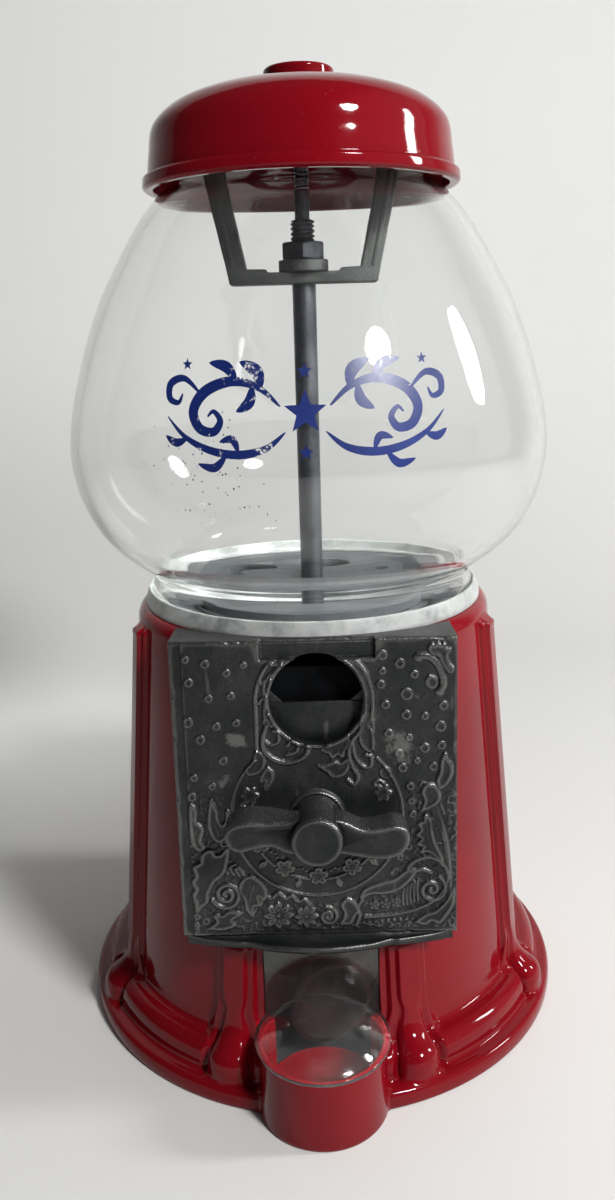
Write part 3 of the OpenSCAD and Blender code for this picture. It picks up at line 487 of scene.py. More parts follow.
def edge(x, low, high):
    """Smooth step of arrays."""
    t = np.clip((x - low) / (high - low), 0, 1)
    return t * t * (3 - 2 * t)


profiles = {"roll": base_profile(ROLL, 0), "gap": base_profile(GAP, 0),
            "strip": base_profile(STRIP, 1.9), "rib": base_profile(RIB, 3.6)}
print("stations along the base's profile:", len(profiles["roll"]))

# %% [markdown]
# The weights change with height: a rib is 6 degrees wide on the cone and 9 degrees wide where it
# becomes a foot, and the rolls open in a fork round the foot's neck. The ribs beside the chute stop
# under the faceplate, and all of them melt into the cone at the top. More rows lie where the
# weights change fast.

# %% Base skin
def base_azimuths():
    """Azimuths of the grid's rows, closer together round each column."""
    half = np.concatenate([np.linspace(0, 1.9, 5), np.linspace(2.1, 9.7, 44), np.linspace(10.4, 22.5, 14)])
    one = np.unique(np.concatenate([-half, half]))[:-1]
    return np.radians(np.concatenate([one + 22.5 + 45 * i for i in range(8)]))


def base_skin(azimuth):
    stations = len(profiles["roll"])
    a = np.degrees(azimuth)[:, None]
    column = (np.floor(a / 45) + 0.5) * 45
    away = np.abs(a - column)
    z = profiles["gap"][:, 1][None, :]
    low = 1 - edge(z, 15, 31)
    front = np.abs((column + 180) % 360 - 180) < 30
    top = np.where(front, 62.5, 176.0)
    run_out = 1 - edge(z, top - 5.5, top)
    neck = np.exp(-((z - 25) / 4.0) ** 2)
    foot = 2.55 + 1.75 * (1 - edge(z, 12, 23)) + 0.5 * edge(z, 26, 40) - 0.35 * neck
    flat_rib = 1 - edge(away, foot - 0.45, foot + 0.5)
    round_foot = np.clip(1 - (away / (foot + 0.9)) ** 2, 0, 1) ** 0.55
    rib = (flat_rib + (round_foot - flat_rib) * low) * run_out
    splay = np.exp(-((z - 20) / 5.0) ** 2)
    strip = (1 - edge(away, 4.7 + 0.6 * splay, 5.8 + 3.2 * splay)) * run_out * edge(z, 12, 27)
    roll = edge(away, foot + 0.9, foot + 2.9)
    skin = np.zeros((len(azimuth), stations, 2))
    for k in range(2):
        layer = profiles["gap"][:, k] + (profiles["roll"][:, k] - profiles["gap"][:, k]) * roll
        layer = layer + (profiles["strip"][:, k] - layer) * strip
        skin[:, :, k] = layer + (profiles["rib"][:, k] - layer) * rib
    return skin


azimuth = base_azimuths()
skin = base_skin(azimuth)
print("base skin:", skin.shape[0], "azimuths by", skin.shape[1], "stations")

# %% [markdown]
# Inside, the casting follows plain steps, so the grid is closed with one inner path. Cutters then
# open the chute, the mechanism's window, the cup's bore and the flap's room. A Boolean is the
# right tool here, because the openings are plain shapes and lie across the grid at no fixed row.

# %% Base piece
INSIDE = [(64.85, 178.0), (64.85, 175.5), (60.6, 175.5), (60.6, 173.0), (71.3, 170.9), (84.9, 21.2),
          (85.0, 18.0), (94.0, 11.0), (94.0, 4.2), (98.0, 4.2), (98.0, 0.0)]


def ring_points(path, azimuth):
    """Points of a path of (radius, height), or of one path for each azimuth, round the axis."""
    path = np.broadcast_to(path, (len(azimuth),) + np.asarray(path).shape[-2:])
    x = path[:, :, 0] * np.sin(azimuth)[:, None]
    y = -path[:, :, 0] * np.cos(azimuth)[:, None]
    return np.stack([x, y, path[:, :, 1]], 2)


def cutter(name, points, faces):
    mesh = bpy.data.meshes.new(name)
    mesh.from_pydata([tuple(p) for p in np.asarray(points, float) * MM], [], [tuple(f) for f in faces])
    face_outward(mesh)
    obj = bpy.data.objects.new(name, mesh)
    scene.collection.objects.link(obj)
    return obj


BOX_FACES = [(0, 1, 3, 2), (4, 6, 7, 5), (0, 4, 5, 1), (2, 3, 7, 6), (0, 2, 6, 4), (1, 5, 7, 3)]


def box_corners(low, high):
    return [(a, b, c) for a in (low[0], high[0]) for b in (low[1], high[1]) for c in (low[2], high[2])]


def box_cutter(name, low, high):
    return cutter(name, box_corners(low, high), BOX_FACES)


def round_cutter(name, centre, radius, low, high, steps=128):
    angle = full_turn(steps)
    ring = np.stack([centre[0] + radius * np.cos(angle), centre[1] + radius * np.sin(angle)], 1)
    return cutter(name, [(x, y, z) for z in (low, high) for x, y in ring], prism_faces(steps))


def turned_cutter(name, profile, centre=(0, 0), steps=192):
    """A cutter swept round a vertical axis."""
    points = [(centre[0] + r * math.cos(a), centre[1] + r * math.sin(a), z)
              for a in full_turn(steps) for r, z in profile]
    return cutter(name, points, [tuple(int(v) for v in f) for f in grid_faces(steps, len(profile), True, True)])


def apply_modifiers(obj):
    graph = bpy.context.evaluated_depsgraph_get()
    made = bpy.data.meshes.new_from_object(obj.evaluated_get(graph))
    obj.modifiers.clear()
    obj.data = made


def carve(obj, *tools, operation="DIFFERENCE", sharp=35):
    """Cuts tools from obj, or joins them to it, and applies the result in obj's one finish."""
    finish = obj.data.materials[0] if obj.data.materials else None
    for tool in tools:
        cut = obj.modifiers.new("cut", "BOOLEAN")
        cut.operation, cut.solver, cut.object = operation, "MANIFOLD", tool
        apply_modifiers(obj)
        bpy.data.objects.remove(tool)
    obj.data.materials.clear()
    obj.data.polygons.foreach_set("material_index", [0] * len(obj.data.polygons))
    if finish:
        obj.data.materials.append(finish)
    smooth(obj, sharp)


outside = ring_points(skin, azimuth)
inside = ring_points(INSIDE, azimuth)
shell = np.concatenate([outside, inside], 1)
base = piece("base_enamel", shell.reshape(-1, 3), grid_faces(*shell.shape[:2], True, True),
             enamel, "base")
carve(base, box_cutter("chute_cut", (-22.5, -130, 12), (22.5, -60, 75)),
      box_cutter("window_cut", (-36, -120, 74), (36, -50, 170)),
      box_cutter("window_top_cut", (-17.6, -120, 165), (19.2, -66.4, 176.4)),
      round_cutter("bore_cut", (0, -CUP_Y), 22.0, 6.2, 60),
      round_cutter("flap_cut", (0, -CUP_Y), 26.2, 28.5, 67))
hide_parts("base_casting")
print("base faces:", len(base.data.polygons))

# %% [markdown]
# ## The cup
#
# The cup under the flap is cast in one with the flange, and enamel fills the corner between them.
# Its own polar grid round the cup's axis gives even faces all round. Where the cup leaves the
# flange's rim, the outline is a smooth maximum of the two circles, and on top of the flange a
# small concave fillet runs up the wall.

# %% Cup
FLANGE_TOP = 7.4


def reach_of_flange(psi, radius):
    """Distance from the cup's axis to the flange's circle in the direction psi from the front."""
    c = CUP_Y * np.cos(psi)
    return -c + np.sqrt(np.maximum(c * c + radius * radius - CUP_Y ** 2, 0))


def cup_wall(psi):
    heights = np.array([0.0, 0.5, 1.2, 2.0, 3.0, 4.0, 5.0, 6.0, 6.9, 7.3, 7.45, 7.7, 8.0, 8.5, 9.2, 10.0,
                        11.0, 13.0, 16.0, 20.0, 23.0, 25.0])
    rim_r, rim_z = zip(*RIM, (102.6, FLANGE_TOP))
    rim = np.interp(heights, rim_z, rim_r)
    wall = CUP_R - 0.8 * heights / CUP_H - 1.2 * (1 - edge(heights, -0.2, 1.0)) * 0.5
    flange = reach_of_flange(psi[:, None], rim[None, :])
    spread, fillet_r = 3.2, 2.6
    mix = np.clip(0.5 + 0.5 * (flange - wall) / spread, 0, 1)
    blend = wall + (flange - wall) * mix + spread * mix * (1 - mix)
    joined = np.where(mix < 0.5, blend, np.minimum(blend, np.maximum(flange - 0.06, wall)))
    lift = np.clip(heights - FLANGE_TOP, 0, fillet_r)
    fillet = fillet_r - np.sqrt(np.maximum(fillet_r ** 2 - (fillet_r - lift) ** 2, 0))
    here = edge(reach_of_flange(psi, 103.4) - CUP_R, 0.2, 3.4)[:, None]
    reach = np.where(heights > FLANGE_TOP, wall + fillet * here, np.minimum(joined, 34))
    return reach, heights


psi = np.radians(np.concatenate([np.linspace(-122.6, -92, 18), np.linspace(-91, -66, 76),
                                 np.linspace(-65, 65, 90), np.linspace(66, 91, 76), np.linspace(92, 122.6, 18)]))
reach, heights = cup_wall(psi)
lip = rounded([(24.3, 24.8), (24.2, CUP_H), (22.0, CUP_H), (22.0, 24.0)], 1.0, 8, False)[1:]
bore = np.array([(22.0, 18.0), (22.0, 11.0), (21.9, 8.0), (21.2, 6.6), (19.8, 6.25)])
under = np.array([(19.8, 4.3), (22.5, 4.3), (23.0, 0.0)])
tail = np.concatenate([lip, bore, under])
tail = np.broadcast_to(tail, (len(psi),) + tail.shape)
outer = np.stack([reach, np.broadcast_to(heights, reach.shape)], 2)
wall = np.concatenate([outer, tail], 1)
points = np.stack([wall[:, :, 0] * np.sin(psi)[:, None], -CUP_Y - wall[:, :, 0] * np.cos(psi)[:, None],
                   wall[:, :, 1]], 2)
cup = piece("cup_enamel", points.reshape(-1, 3), tube_faces(*points.shape[:2]), enamel, "base")
floor_disc = lathe("cup_floor", [(0.01, 6.25), (20.2, 6.25), (21.8, 7.2), (21.8, 4.4), (0.01, 4.4)],
                   enamel, "base", 96, centre=(0, -CUP_Y))
print("cup faces:", len(cup.data.polygons) + len(floor_disc.data.polygons))

# %% [markdown]
# ## Lid, knob and washer
#
# The lid is a spun dome with a rolled bead at its edge, dipped in the same enamel. A lathe with
# fine steps keeps its reflections smooth, and the bead's corners are rounded with real radii. Under
# the dome a thin seat ring centres the lid on the globe's mouth.

# %% Lid
lid_line = curve([(13.3, LID_TOP), (0.51 * LID_R, LID_TOP - 2), (0.70 * LID_R, LID_TOP - 4.8),
                  (0.85 * LID_R, LID_TOP - 8.8), (0.955 * LID_R, LID_TOP - 15), (0.985 * LID_R, LID_TOP - 24),
                  (LID_R, LID_Z + 6.2)], 14)
lid_inner = inset(lid_line, -2.0)
bead = rounded([(LID_R, LID_Z + 6.2), (LID_R + 0.05, LID_Z + 5.2), (LID_R + 2.0, LID_Z + 4.6, 1.1),
                (LID_R + 2.3, LID_Z + 1.0, 1.4), (LID_R + 0.9, LID_Z + 0.1), (LID_R - 1.9, LID_Z + 0.1),
                (LID_R - 2, LID_Z + 6.2)], 0.8, 8, False)
lid_path = np.concatenate([[(6.6, LID_TOP)], lid_line[:-1], bead, lid_inner[::-1][1:],
                           [(6.6, LID_TOP - 2.0)]])
print("lid inner line runs from", lid_inner[0].round(2), "to", lid_inner[-1].round(2))
lid = lathe("lid_dome", lid_path, enamel, "lid", 256, 40)
seat = lathe("lid_seat", rounded([(43.0, 355.3), (45.0, 355.3), (45.0, 367.6), (43.0, 368.4)], 0.3, 3),
             enamel, "lid", 128)
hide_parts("lid")
knob = lathe("knob_cap", np.concatenate([
    [(0.01, 381.0)], rounded([(0.01, 381.0), (12.6, 381.0), (13.3, 380.2), (13.3, 376.3), (5.3, 376.3),
                              (5.3, 370.7), (2.96, 370.7), (2.96, 376.6)], 0.9, 7, False)[1:],
    [(0.01, 376.6)]]), enamel, "lid_knob", 128)
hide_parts("lid_knob")
washer = lathe("knob_ring", rounded([(5.7, 375.5), (11.8, 375.5), (11.8, 376.3), (5.7, 376.3)], 0.25, 4),
               steel, "knob_washer", 96)
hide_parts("knob_washer")
print("lid pieces:", lid.name, seat.name, knob.name, washer.name)

# %% [markdown]
# ## Globe and gasket
#
# The globe is blown glass of an even 3 mm wall, open at its neck and its mouth. Both walls are
# modelled, because refraction needs them. The edges at neck and mouth are fire-polished, so they
# are round.

# %% Globe
WIDEST = 0.37 * (MOUTH_Z - GLOBE_Z)
globe_line = curve([(NECK_R + out, GLOBE_Z + up) for out, up in (
    (0, 0), (0, 4.5), (-0.8, 8.5), (-0.2, 12), (3.0, 15.5), (8.2, 19.5), (13.5, 24.2), (18.4, 29.8), (22.4, 36.5),
    (25.6, 44.5), (27.6, 53))] + [(GLOBE_R, GLOBE_Z + WIDEST)] + [
    (GLOBE_R - back, GLOBE_Z + up) for back, up in (
    (2, 78), (6, 93.1), (10.5, 106.5), (16.2, 120.1), (21.6, 130), (26.8, 139), (32.3, 147.5))] + [
    (MOUTH_R + out, MOUTH_Z - below) for out, below in ((11, 17), (6, 12), (2.6, 8), (0.6, 3), (0, 0))], 12)
globe_inner = inset(globe_line, GLASS)


def polished(outer, inner, n=6):
    """Half-round points that join the outer end to the inner end of a wall."""
    middle, arm = (outer + inner) / 2, (outer - inner) / 2
    way = np.array([-arm[1], arm[0]])
    return [middle + arm * math.cos(t) + way * math.sin(t) * 0.5 for t in np.linspace(0, math.pi, n)[1:-1]]


outer, inner = globe_line[2:-2], globe_inner[2:-2]
globe_path = np.concatenate([outer, polished(outer[-1], inner[-1]), inner[::-1], polished(inner[0], outer[0])])
globe_path[:, 1] = np.clip(globe_path[:, 1], GLOBE_Z, MOUTH_Z)
globe = lathe("globe_glass", globe_path, globe_glass, "base", 288, 50)
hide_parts("globe")
gasket = lathe("gasket_ring", rounded([
    (62.8, 178.0), (70.6, 178.0), (70.6, 179.5), (69.0, 184.6), (67.85, 184.6), (67.85, 179.55), (62.8, 179.5)],
    0.5, 6), milky_rubber, "base", 256)
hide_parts("globe_gasket")
print("globe path has", len(globe_path), "points")

# %% [markdown]
# ## The centre rod and its nut
#
# One steel rod clamps the whole machine together. It is thick up to its nut, has a coarse thread
# there, and goes on as a thin stud whose thread takes the lid's knob. A screw modifier could turn
# a thread profile. Here each ring of the rod is a circle whose radius follows the helix, so that
# the thread can fade out where the die stopped cutting.

# %% Rod
def thread(z, angle, start, end, depth, pitch):
    """How deep a thread cuts at heights z and angles, fading over one turn at each end."""
    turn = (z[:, None] / pitch - angle[None, :] / (2 * math.pi)) % 1
    groove = np.clip(1.45 - 2.2 * np.abs(2 * turn - 1), 0, 1)
    fade = edge(z, start, start + pitch) * (1 - edge(z, end - 0.5 * pitch, end))
    return depth * groove * fade[:, None]


def ring_stack(z, radius):
    """Points of rings at heights z, whose radius changes with the angle."""
    angle = full_turn(radius.shape[1])
    x, y = radius * np.cos(angle), radius * np.sin(angle)
    return np.stack([x, y, np.broadcast_to(z[:, None], radius.shape)], 2).reshape(-1, 3)


def ringed(name, z, radius, finish, body, sharp=35):
    """A solid of rings: radius holds a row for each height and a column for each angle."""
    return piece(name, ring_stack(z, radius), tube_faces(*radius.shape), finish, body, sharp)


ROD_R, STUD_R, NUT_TOP, ROD_TOP, STUD_TOP = 4.7, 2.9, 319.0, 327.4, 376.0
around = full_turn(48)
heights = np.concatenate([[2.0, 2.6, 60, 120, 180, 240, 300], np.arange(NUT_TOP, ROD_TOP - 0.5, 0.17)])
bar = np.where(heights < 2.3, ROD_R - 0.6, ROD_R)[:, None] - thread(heights, around, NUT_TOP, 330, 0.75, 1.7)
stud_heights = np.concatenate([[ROD_TOP - 0.02, 330, 333, 336], np.arange(337.5, STUD_TOP - 0.55, 0.14),
                               [STUD_TOP - 0.3]])
stud = STUD_R - thread(stud_heights, around, 337.5, 380, 0.42, 1.27)
stud[-1] = STUD_R - 0.55
shoulder = np.array([ROD_TOP - 0.45, ROD_TOP - 0.1])
shoulder_r = np.repeat(np.array([[ROD_R - 0.25], [ROD_R - 0.85]]), 48, 1)
rod = ringed("rod_bar", np.concatenate([heights, shoulder, stud_heights]),
             np.concatenate([bar, shoulder_r, stud]), dark_steel, "base", 50)
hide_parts("center_rod")
print("rod rings:", len(heights) + len(stud_heights))

# %% [markdown]
# A nut's corners are turned off at 30 degrees, which leaves the round arcs seen on its flats. The
# radius of each ring is the smaller of the hexagon and the chamfer's cone.

# %% Nut and collar
def nut(name, across, bottom, top, bore, finish, body):
    steps = 96
    hexagon = across / 2 / np.cos((full_turn(steps) + math.pi / 6) % (math.pi / 3) - math.pi / 6)
    turned_off = np.array([0, 0.2, 0.5, 0.9, 1.3])
    z = np.concatenate([bottom + turned_off, top - turned_off[::-1]])
    inward = np.minimum(z - bottom, top - z)
    chamfer = across / 2 - 0.35 + inward / math.tan(math.radians(30))
    outer = np.minimum(hexagon[None, :], chamfer[:, None])
    radius = np.concatenate([outer, np.full((2, steps), bore)])
    z = np.concatenate([z, [top, bottom]])
    return piece(name, ring_stack(z, radius), grid_faces(len(z), steps, True, True), finish, body, 30)


rod_nut = nut("rod_nut", 16, 312, 319, 4.72, dark_steel, "base")
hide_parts("bracket_nut")
collar = lathe("rod_collar", rounded([(4.9, 308), (9.8, 308), (9.8, 312), (4.9, 312)], 0.6, 5),
               dark_casting, "base", 96, 30)
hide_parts("bracket_washer")
print("nut and collar:", rod_nut.name, collar.name)

# %% [markdown]
# ## The bracket in the mouth
#
# A rough cast bracket hangs from the glass mouth, and the nut pulls it down. It is a flat outline
# with depth, so its polygon is 13 mm deep and a bevel rounds every edge as a casting's
# draft and fettling do. Stiffening ribs stand on the arms' outer faces, and low pads lie at the
# ends of the bar.

# %% Bracket
def rounded_prism(name, points, finish, round_by, limit=25, sharp=35):
    """A prism on the base, from points stored end after end, with all its edges rounded."""
    obj = piece(name, points, prism_faces(len(points) // 2), finish, "base", sharp)
    bevel = obj.modifiers.new("rounding", "BEVEL")
    bevel.width, bevel.segments = round_by * MM, 3
    bevel.limit_method, bevel.angle_limit = "ANGLE", math.radians(limit)
    apply_modifiers(obj)
    smooth(obj, sharp)
    return obj


def bracket_prism(name, outline, depth, round_by):
    """An outline in x and z that reaches depth to the front and to the back."""
    points = [(x, y, z) for y in (-depth, depth) for x, z in outline]
    return rounded_prism(name, points, dark_casting, round_by)


half = [(29, 304), (37.5, 344), (40.6, 352), (45.3, 352), (45.3, 355), (29.6, 355), (29.6, 344), (22.6, 309.2),
        (14.6, 309.0), (14.0, 308)]
bracket = bracket_prism("bracket_casting", half + [(-x, z) for x, z in half[::-1]], 6.5, 0.7)
carve(bracket, round_cutter("rod_hole", (0, 0), 5.0, 300, 312, 64), sharp=40)
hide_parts("globe_bracket")
rib = [(26.3, 309), (28.2, 309), (35.6, 344), (35.6, 350), (33.4, 350), (33.4, 344)]
ribs = [bracket_prism(name, [(way * x, z) for x, z in rib], 7.0, 0.5)
        for way, name in ((-1, "arm_rib_left"), (1, "arm_rib_right"))]
print("bracket faces:", len(bracket.data.polygons), "and", len(ribs), "ribs")

# %% [markdown]
# ## The faceplate's relief
#
# The faceplate is a die casting whose ornament stands less than a millimetre proud: scrolls,
# leaves, a garland round the dial, and small ring bosses. Sculpting would take hours and carving
# with Booleans would need hundreds of tools. A height map does it in one go: every stroke raises
# the points of a fine grid that lie near its path, and the highest stroke wins where two cross.
# The same map tells where a thumb would rub the metal bright and where dirt would stay, and the
# finish paints a highlight on what stands up and shade in what lies low.

# %% Relief grid
STEP = 0.3
grid_x = np.arange(-PLATE_HALF, PLATE_HALF + STEP / 2, STEP)
grid_s = np.linspace(0, PLATE_H, int(PLATE_H / STEP) + 1)
X, S = np.meshgrid(grid_x, grid_s)
ornament = np.zeros_like(X)


def window_of(path, reach):
    """The part of the grid that lies within reach of a path."""
    low, high = path.min(0) - reach, path.max(0) + reach
    i = np.searchsorted(grid_s, [low[1], high[1]])
    j = np.searchsorted(grid_x, [low[0], high[0]])
    return slice(*i), slice(*j)


def distance(path, reach):
    """Each grid point's distance from a path, and how far along the path its nearest point lies."""
    far = np.full(X.shape, 1e3)
    along = np.zeros(X.shape)
    run = np.concatenate([[0], np.cumsum(np.linalg.norm(np.diff(path, axis=0), axis=1))])
    for k, (a, b) in enumerate(zip(path[:-1], path[1:])):
        box = window_of(np.array([a, b]), reach)
        gx, gs = X[box] - a[0], S[box] - a[1]
        dx, ds = b - a
        t = np.clip((gx * dx + gs * ds) / (dx * dx + ds * ds + 1e-9), 0, 1)
        away = np.hypot(gx - t * dx, gs - t * ds)
        nearer = away < far[box]
        far[box] = np.where(nearer, away, far[box])
        along[box] = np.where(nearer, run[k] + t * (run[k + 1] - run[k]), along[box])
    return far, along / run[-1]


def within(path):
    """True where a grid point lies inside a closed path."""
    found = np.zeros(X.shape, bool)
    box = window_of(path, 0.1)
    gx, gs = X[box], S[box]
    odd = np.zeros(gx.shape, bool)
    for a, b in zip(path, np.roll(path, -1, axis=0)):
        crosses = (a[1] > gs) != (b[1] > gs)
        at = a[0] + (gs - a[1]) / (b[1] - a[1] + 1e-12) * (b[0] - a[0])
        odd ^= crosses & (gx < at)
    found[box] = odd
    return found


def emboss(height):
    """Adds a height to the ornament where it is the highest."""
    np.maximum(ornament, height, out=ornament)


def flat_bead(far, half_width, rise):
    """A bead with a broad back and steep flanks."""
    return 1.25 * rise * np.clip(1 - (far / half_width) ** 2, 0, 1) ** 0.4


def line(points, width=0.5, rise=0.55, taper=0.0):
    """A raised bead along a smooth path. taper thins it towards its far end."""
    width = 1.25 * width + 0.12
    far, along = distance(curve(points, 6), width + 0.6)
    emboss(flat_bead(far, width * (1 - taper * along) + 0.12, rise))


def leaf(points, fill=0.32, edge_rise=0.6, smooth_by=6, width=0.42):
    """A closed leaf: a raised field with a bead round it."""
    path = curve(list(points) + [points[0]], smooth_by)
    far, along = distance(path, 3.0)
    inner = np.where(within(path), 1.5 * fill + 0.25 * (1 - edge(far, 0.2, 1.6)), 0)
    emboss(np.maximum(inner, flat_bead(far, 1.2 * width + 0.14, edge_rise)))


def spiral(x, s, radius, turns, start, way=1, end=0.5):
    """Points of a spiral from its outside in, as seen on the plate."""
    t = np.linspace(0, 1, int(14 * turns) + 2)
    angle = math.radians(start) + way * 2 * math.pi * turns * t
    r = radius + (end - radius) * t ** 0.85
    return [(x + rr * math.cos(a), s + rr * math.sin(a)) for rr, a in zip(r, angle)]


def boss(x, s, radius):
    """A small ring with a sunk middle."""
    away = np.hypot(X - x, S - s)
    ring = 0.42 * np.sqrt(np.clip(1 - ((away - radius + 0.35) / 0.6) ** 2, 0, 1))
    emboss(np.where(away < radius, np.maximum(ring, 0.24), ring))


def dot(x, s, radius, rise=0.6):
    away = np.hypot(X - x, S - s)
    emboss(rise * np.sqrt(np.clip(1 - (away / radius) ** 2, 0, 1)))


def turned(points, x, s, angle, size=1.0, flip=1):
    """Points of a motif drawn round (0, 0), turned, sized and set at (x, s)."""
    c, n = math.cos(math.radians(angle)), math.sin(math.radians(angle))
    return [(x + size * (flip * a * c - b * n), s + size * (flip * a * n + b * c)) for a, b in points]


print("relief grid:", X.shape)

# %% [markdown]
# The field first: ring bosses are scattered like bubbles over the upper half, and larger scrolls
# fill the corners and the lower half. All of it is ordinary foliate ornament of its time.

# %% Field ornament
BOSSES = [
    (-44.6, 99.5, 1.5), (-37.8, 93.4, 1.4), (-29.7, 94.2, 1.3), (-45.7, 84.6, 1.8), (-35.4, 82.9, 1.4),
    (-28.2, 84.0, 1.3), (-41.4, 78.0, 1.6), (-33.4, 69.8, 1.5), (-44.4, 63.5, 1.3), (-37.9, 60.0, 1.3),
    (-45.6, 56.2, 1.6), (-31.0, 102.8, 1.3), (-38.6, 106.2, 1.5), (-45.4, 108.0, 1.2), (-24.8, 105.5, 1.1),
    (24.6, 108.0, 1.7), (30.8, 104.8, 1.7), (24.6, 102.1, 1.2), (23.9, 97.2, 1.5), (36.0, 100.6, 1.4),
    (33.2, 93.4, 2.1), (25.6, 89.6, 1.5), (33.0, 85.6, 1.7), (39.7, 85.0, 1.3), (46.4, 88.8, 1.6),
    (45.3, 81.0, 1.9), (26.6, 78.8, 1.5), (34.0, 77.0, 1.2), (39.6, 73.0, 1.7), (45.6, 73.8, 1.5),
    (30.3, 71.0, 1.5), (36.8, 68.2, 1.1), (31.5, 65.6, 1.6), (42.7, 65.8, 1.5), (34.3, 58.4, 1.4),
    (38.9, 58.7, 1.4), (34.6, 52.7, 1.3), (38.0, 50.4, 1.2), (35.2, 47.4, 1.3), (33.6, 34.8, 1.3),
    (30.4, 30.6, 1.2), (47.4, 8.0, 1.4),
]
for x, s, radius in BOSSES:
    boss(x, s, radius)
# corner scroll, top right: a stem between two balls, and a scalloped leaf
line([(38.3, 107.4), (41.2, 107.0), (44.0, 104.6), (45.9, 100.6), (46.3, 96.6), (45.2, 94.4)], 0.95, 0.75)
dot(37.6, 107.0, 1.9, 0.8)
dot(45.0, 94.0, 1.8, 0.8)
leaf([(41.2, 110.4), (42.3, 111.6), (43.2, 110.8), (44.3, 111.9), (45.3, 110.9), (46.6, 111.6), (47.2, 109.9),
      (48.5, 109.4), (47.4, 107.4), (48.2, 104.6), (49.6, 102.4), (48.4, 101.2), (46.6, 104.0), (44.8, 107.2),
      (42.2, 108.4)], 0.4, 0.75)
leaf(turned([(0, 2.4), (1.5, 1.2), (1.7, -0.8), (0, -2), (-1.7, -0.8), (-1.5, 1.2)], 42.2, 97.6, 20), 0.25, 0.5)
# lily with long stems up the right side
line([(48.8, 14.0), (48.6, 26.0), (47.2, 38.0), (44.4, 48.0), (40.9, 54.2)], 0.5, 0.5)
line([(47.5, 20.0), (47.4, 30.0), (46.2, 39.0), (43.6, 46.5), (41.0, 51.0)], 0.4, 0.45)
for k in range(3):
    line([(46.6 - 1.3 * k, 47.5 - 1.0 * k), (45.0 - 1.4 * k, 52.0 - 0.8 * k), (43.6 - 1.3 * k, 56.5 - 1.2 * k)],
         0.38, 0.45)
leaf([(45.0, 57.6), (47.2, 59.0), (49.2, 62.5), (49.4, 66.0), (47.8, 68.4), (47.0, 70.6), (45.8, 68.0), (45.4, 64.0),
      (44.2, 60.6)], 0.35, 0.6)
leaf([(38.2, 49.0), (41.0, 50.0), (44.0, 52.0), (45.0, 55.2), (43.2, 58.4), (40.2, 59.0), (38.6, 56.2), (39.6, 53.0)],
     0.4, 0.6)
line(spiral(43.0, 43.2, 2.1, 1.3, 150, -1), 0.4, 0.5)
# tall serrated leaf on the right
leaf([(46.0, 27.0), (43.4, 31.0), (40.4, 33.0), (38.0, 32.6), (39.2, 35.0), (37.0, 35.8), (38.6, 38.2), (36.8, 39.6),
      (38.4, 41.6), (37.4, 44.0), (39.4, 44.6), (39.8, 47.0), (41.6, 44.8), (42.0, 41.0), (43.2, 36.0), (45.6, 30.6)],
     0.38, 0.65)
line([(45.4, 28.4), (42.2, 33.6), (40.4, 38.6), (40.0, 43.4)], 0.3, 0.62)
# great scroll, lower right
line([(48.8, 22.0), (46.6, 27.2), (41.8, 30.4), (36.4, 29.4), (33.4, 26.6), (34.6, 24.6), (38.2, 25.8), (41.6, 24.4)],
     0.55, 0.6)
line([(17.0, 7.0), (26.0, 7.6), (35.0, 9.4), (42.6, 13.0), (47.0, 18.4), (48.6, 25.0)], 0.6, 0.6, 0.3)
line(spiral(42.0, 17.6, 5.8, 1.7, 60, -1), 0.55, 0.62)
leaf([(24.0, 20.8), (28.4, 22.0), (32.4, 25.0), (36.0, 25.6), (34.0, 22.0), (30.0, 18.4), (25.0, 16.6), (19.0, 16.4),
      (15.6, 14.6), (17.6, 18.4)], 0.34, 0.6)
for k in range(5):
    line([(31.4 + 1.35 * k, 11.4 + 0.5 * k), (31.2 + 1.35 * k, 15.2 + 0.8 * k), (31.6 + 1.35 * k, 18.0 + 0.9 * k)],
         0.3, 0.45)
leaf([(36.0, 4.6), (39.6, 7.2), (44.0, 9.0), (48.0, 13.4), (50.0, 17.4), (49.8, 11.6), (46.8, 6.4), (44.6, 4.2),
      (41.8, 5.2), (39.4, 3.6)], 0.34, 0.6)
for x, s in [(20.5, 11.6), (24.6, 12.0), (28.6, 12.6)]:
    for k in range(5):
        a = math.radians(72 * k + 18 * x)
        dot(x + 1.35 * math.cos(a), s + 1.35 * math.sin(a), 0.95, 0.5)
    dot(x, s, 0.8, 0.65)
for k in range(9):
    dot(18.6 + 2.3 * k, 4.6 + 0.18 * k, 0.75, 0.5)
# shell and cloud leaf, lower left
line(spiral(-34.4, 17.2, 5.9, 2.1, 200, 1, 0.6), 0.6, 0.65)
leaf([(-45.8, 10.4), (-44.0, 12.6), (-41.8, 14.6), (-41.4, 18.0), (-39.0, 22.6), (-35.6, 25.6), (-33.8, 31.0),
      (-33.4, 35.8), (-35.6, 33.4), (-38.0, 33.0), (-39.6, 35.2), (-42.6, 33.6), (-43.4, 30.2), (-46.0, 28.6),
      (-45.4, 25.0), (-47.2, 22.4), (-45.6, 19.8), (-47.6, 16.8), (-46.2, 14.6)], 0.42, 0.7)
for k in range(4):
    line([(-33.6 + 2.1 * k, 25.6 - 0.4 * k), (-34.8 + 2.0 * k, 28.6 - 0.6 * k), (-32.6 + 1.6 * k, 30.8 - 1.6 * k)],
         0.36, 0.5)
leaf([(-27.2, 11.0), (-27.6, 15.0), (-29.4, 18.6), (-28.6, 22.2), (-25.6, 24.4), (-22.0, 22.4), (-19.8, 18.6),
      (-20.6, 15.0), (-22.8, 16.4), (-22.4, 13.0), (-24.8, 12.2), (-25.0, 8.4)], 0.38, 0.65)
line([(-26.4, 10.4), (-26.0, 15.4), (-24.2, 20.6)], 0.34, 0.6)
line([(-24.4, 9.6), (-23.0, 13.4), (-21.6, 18.6)], 0.3, 0.55)
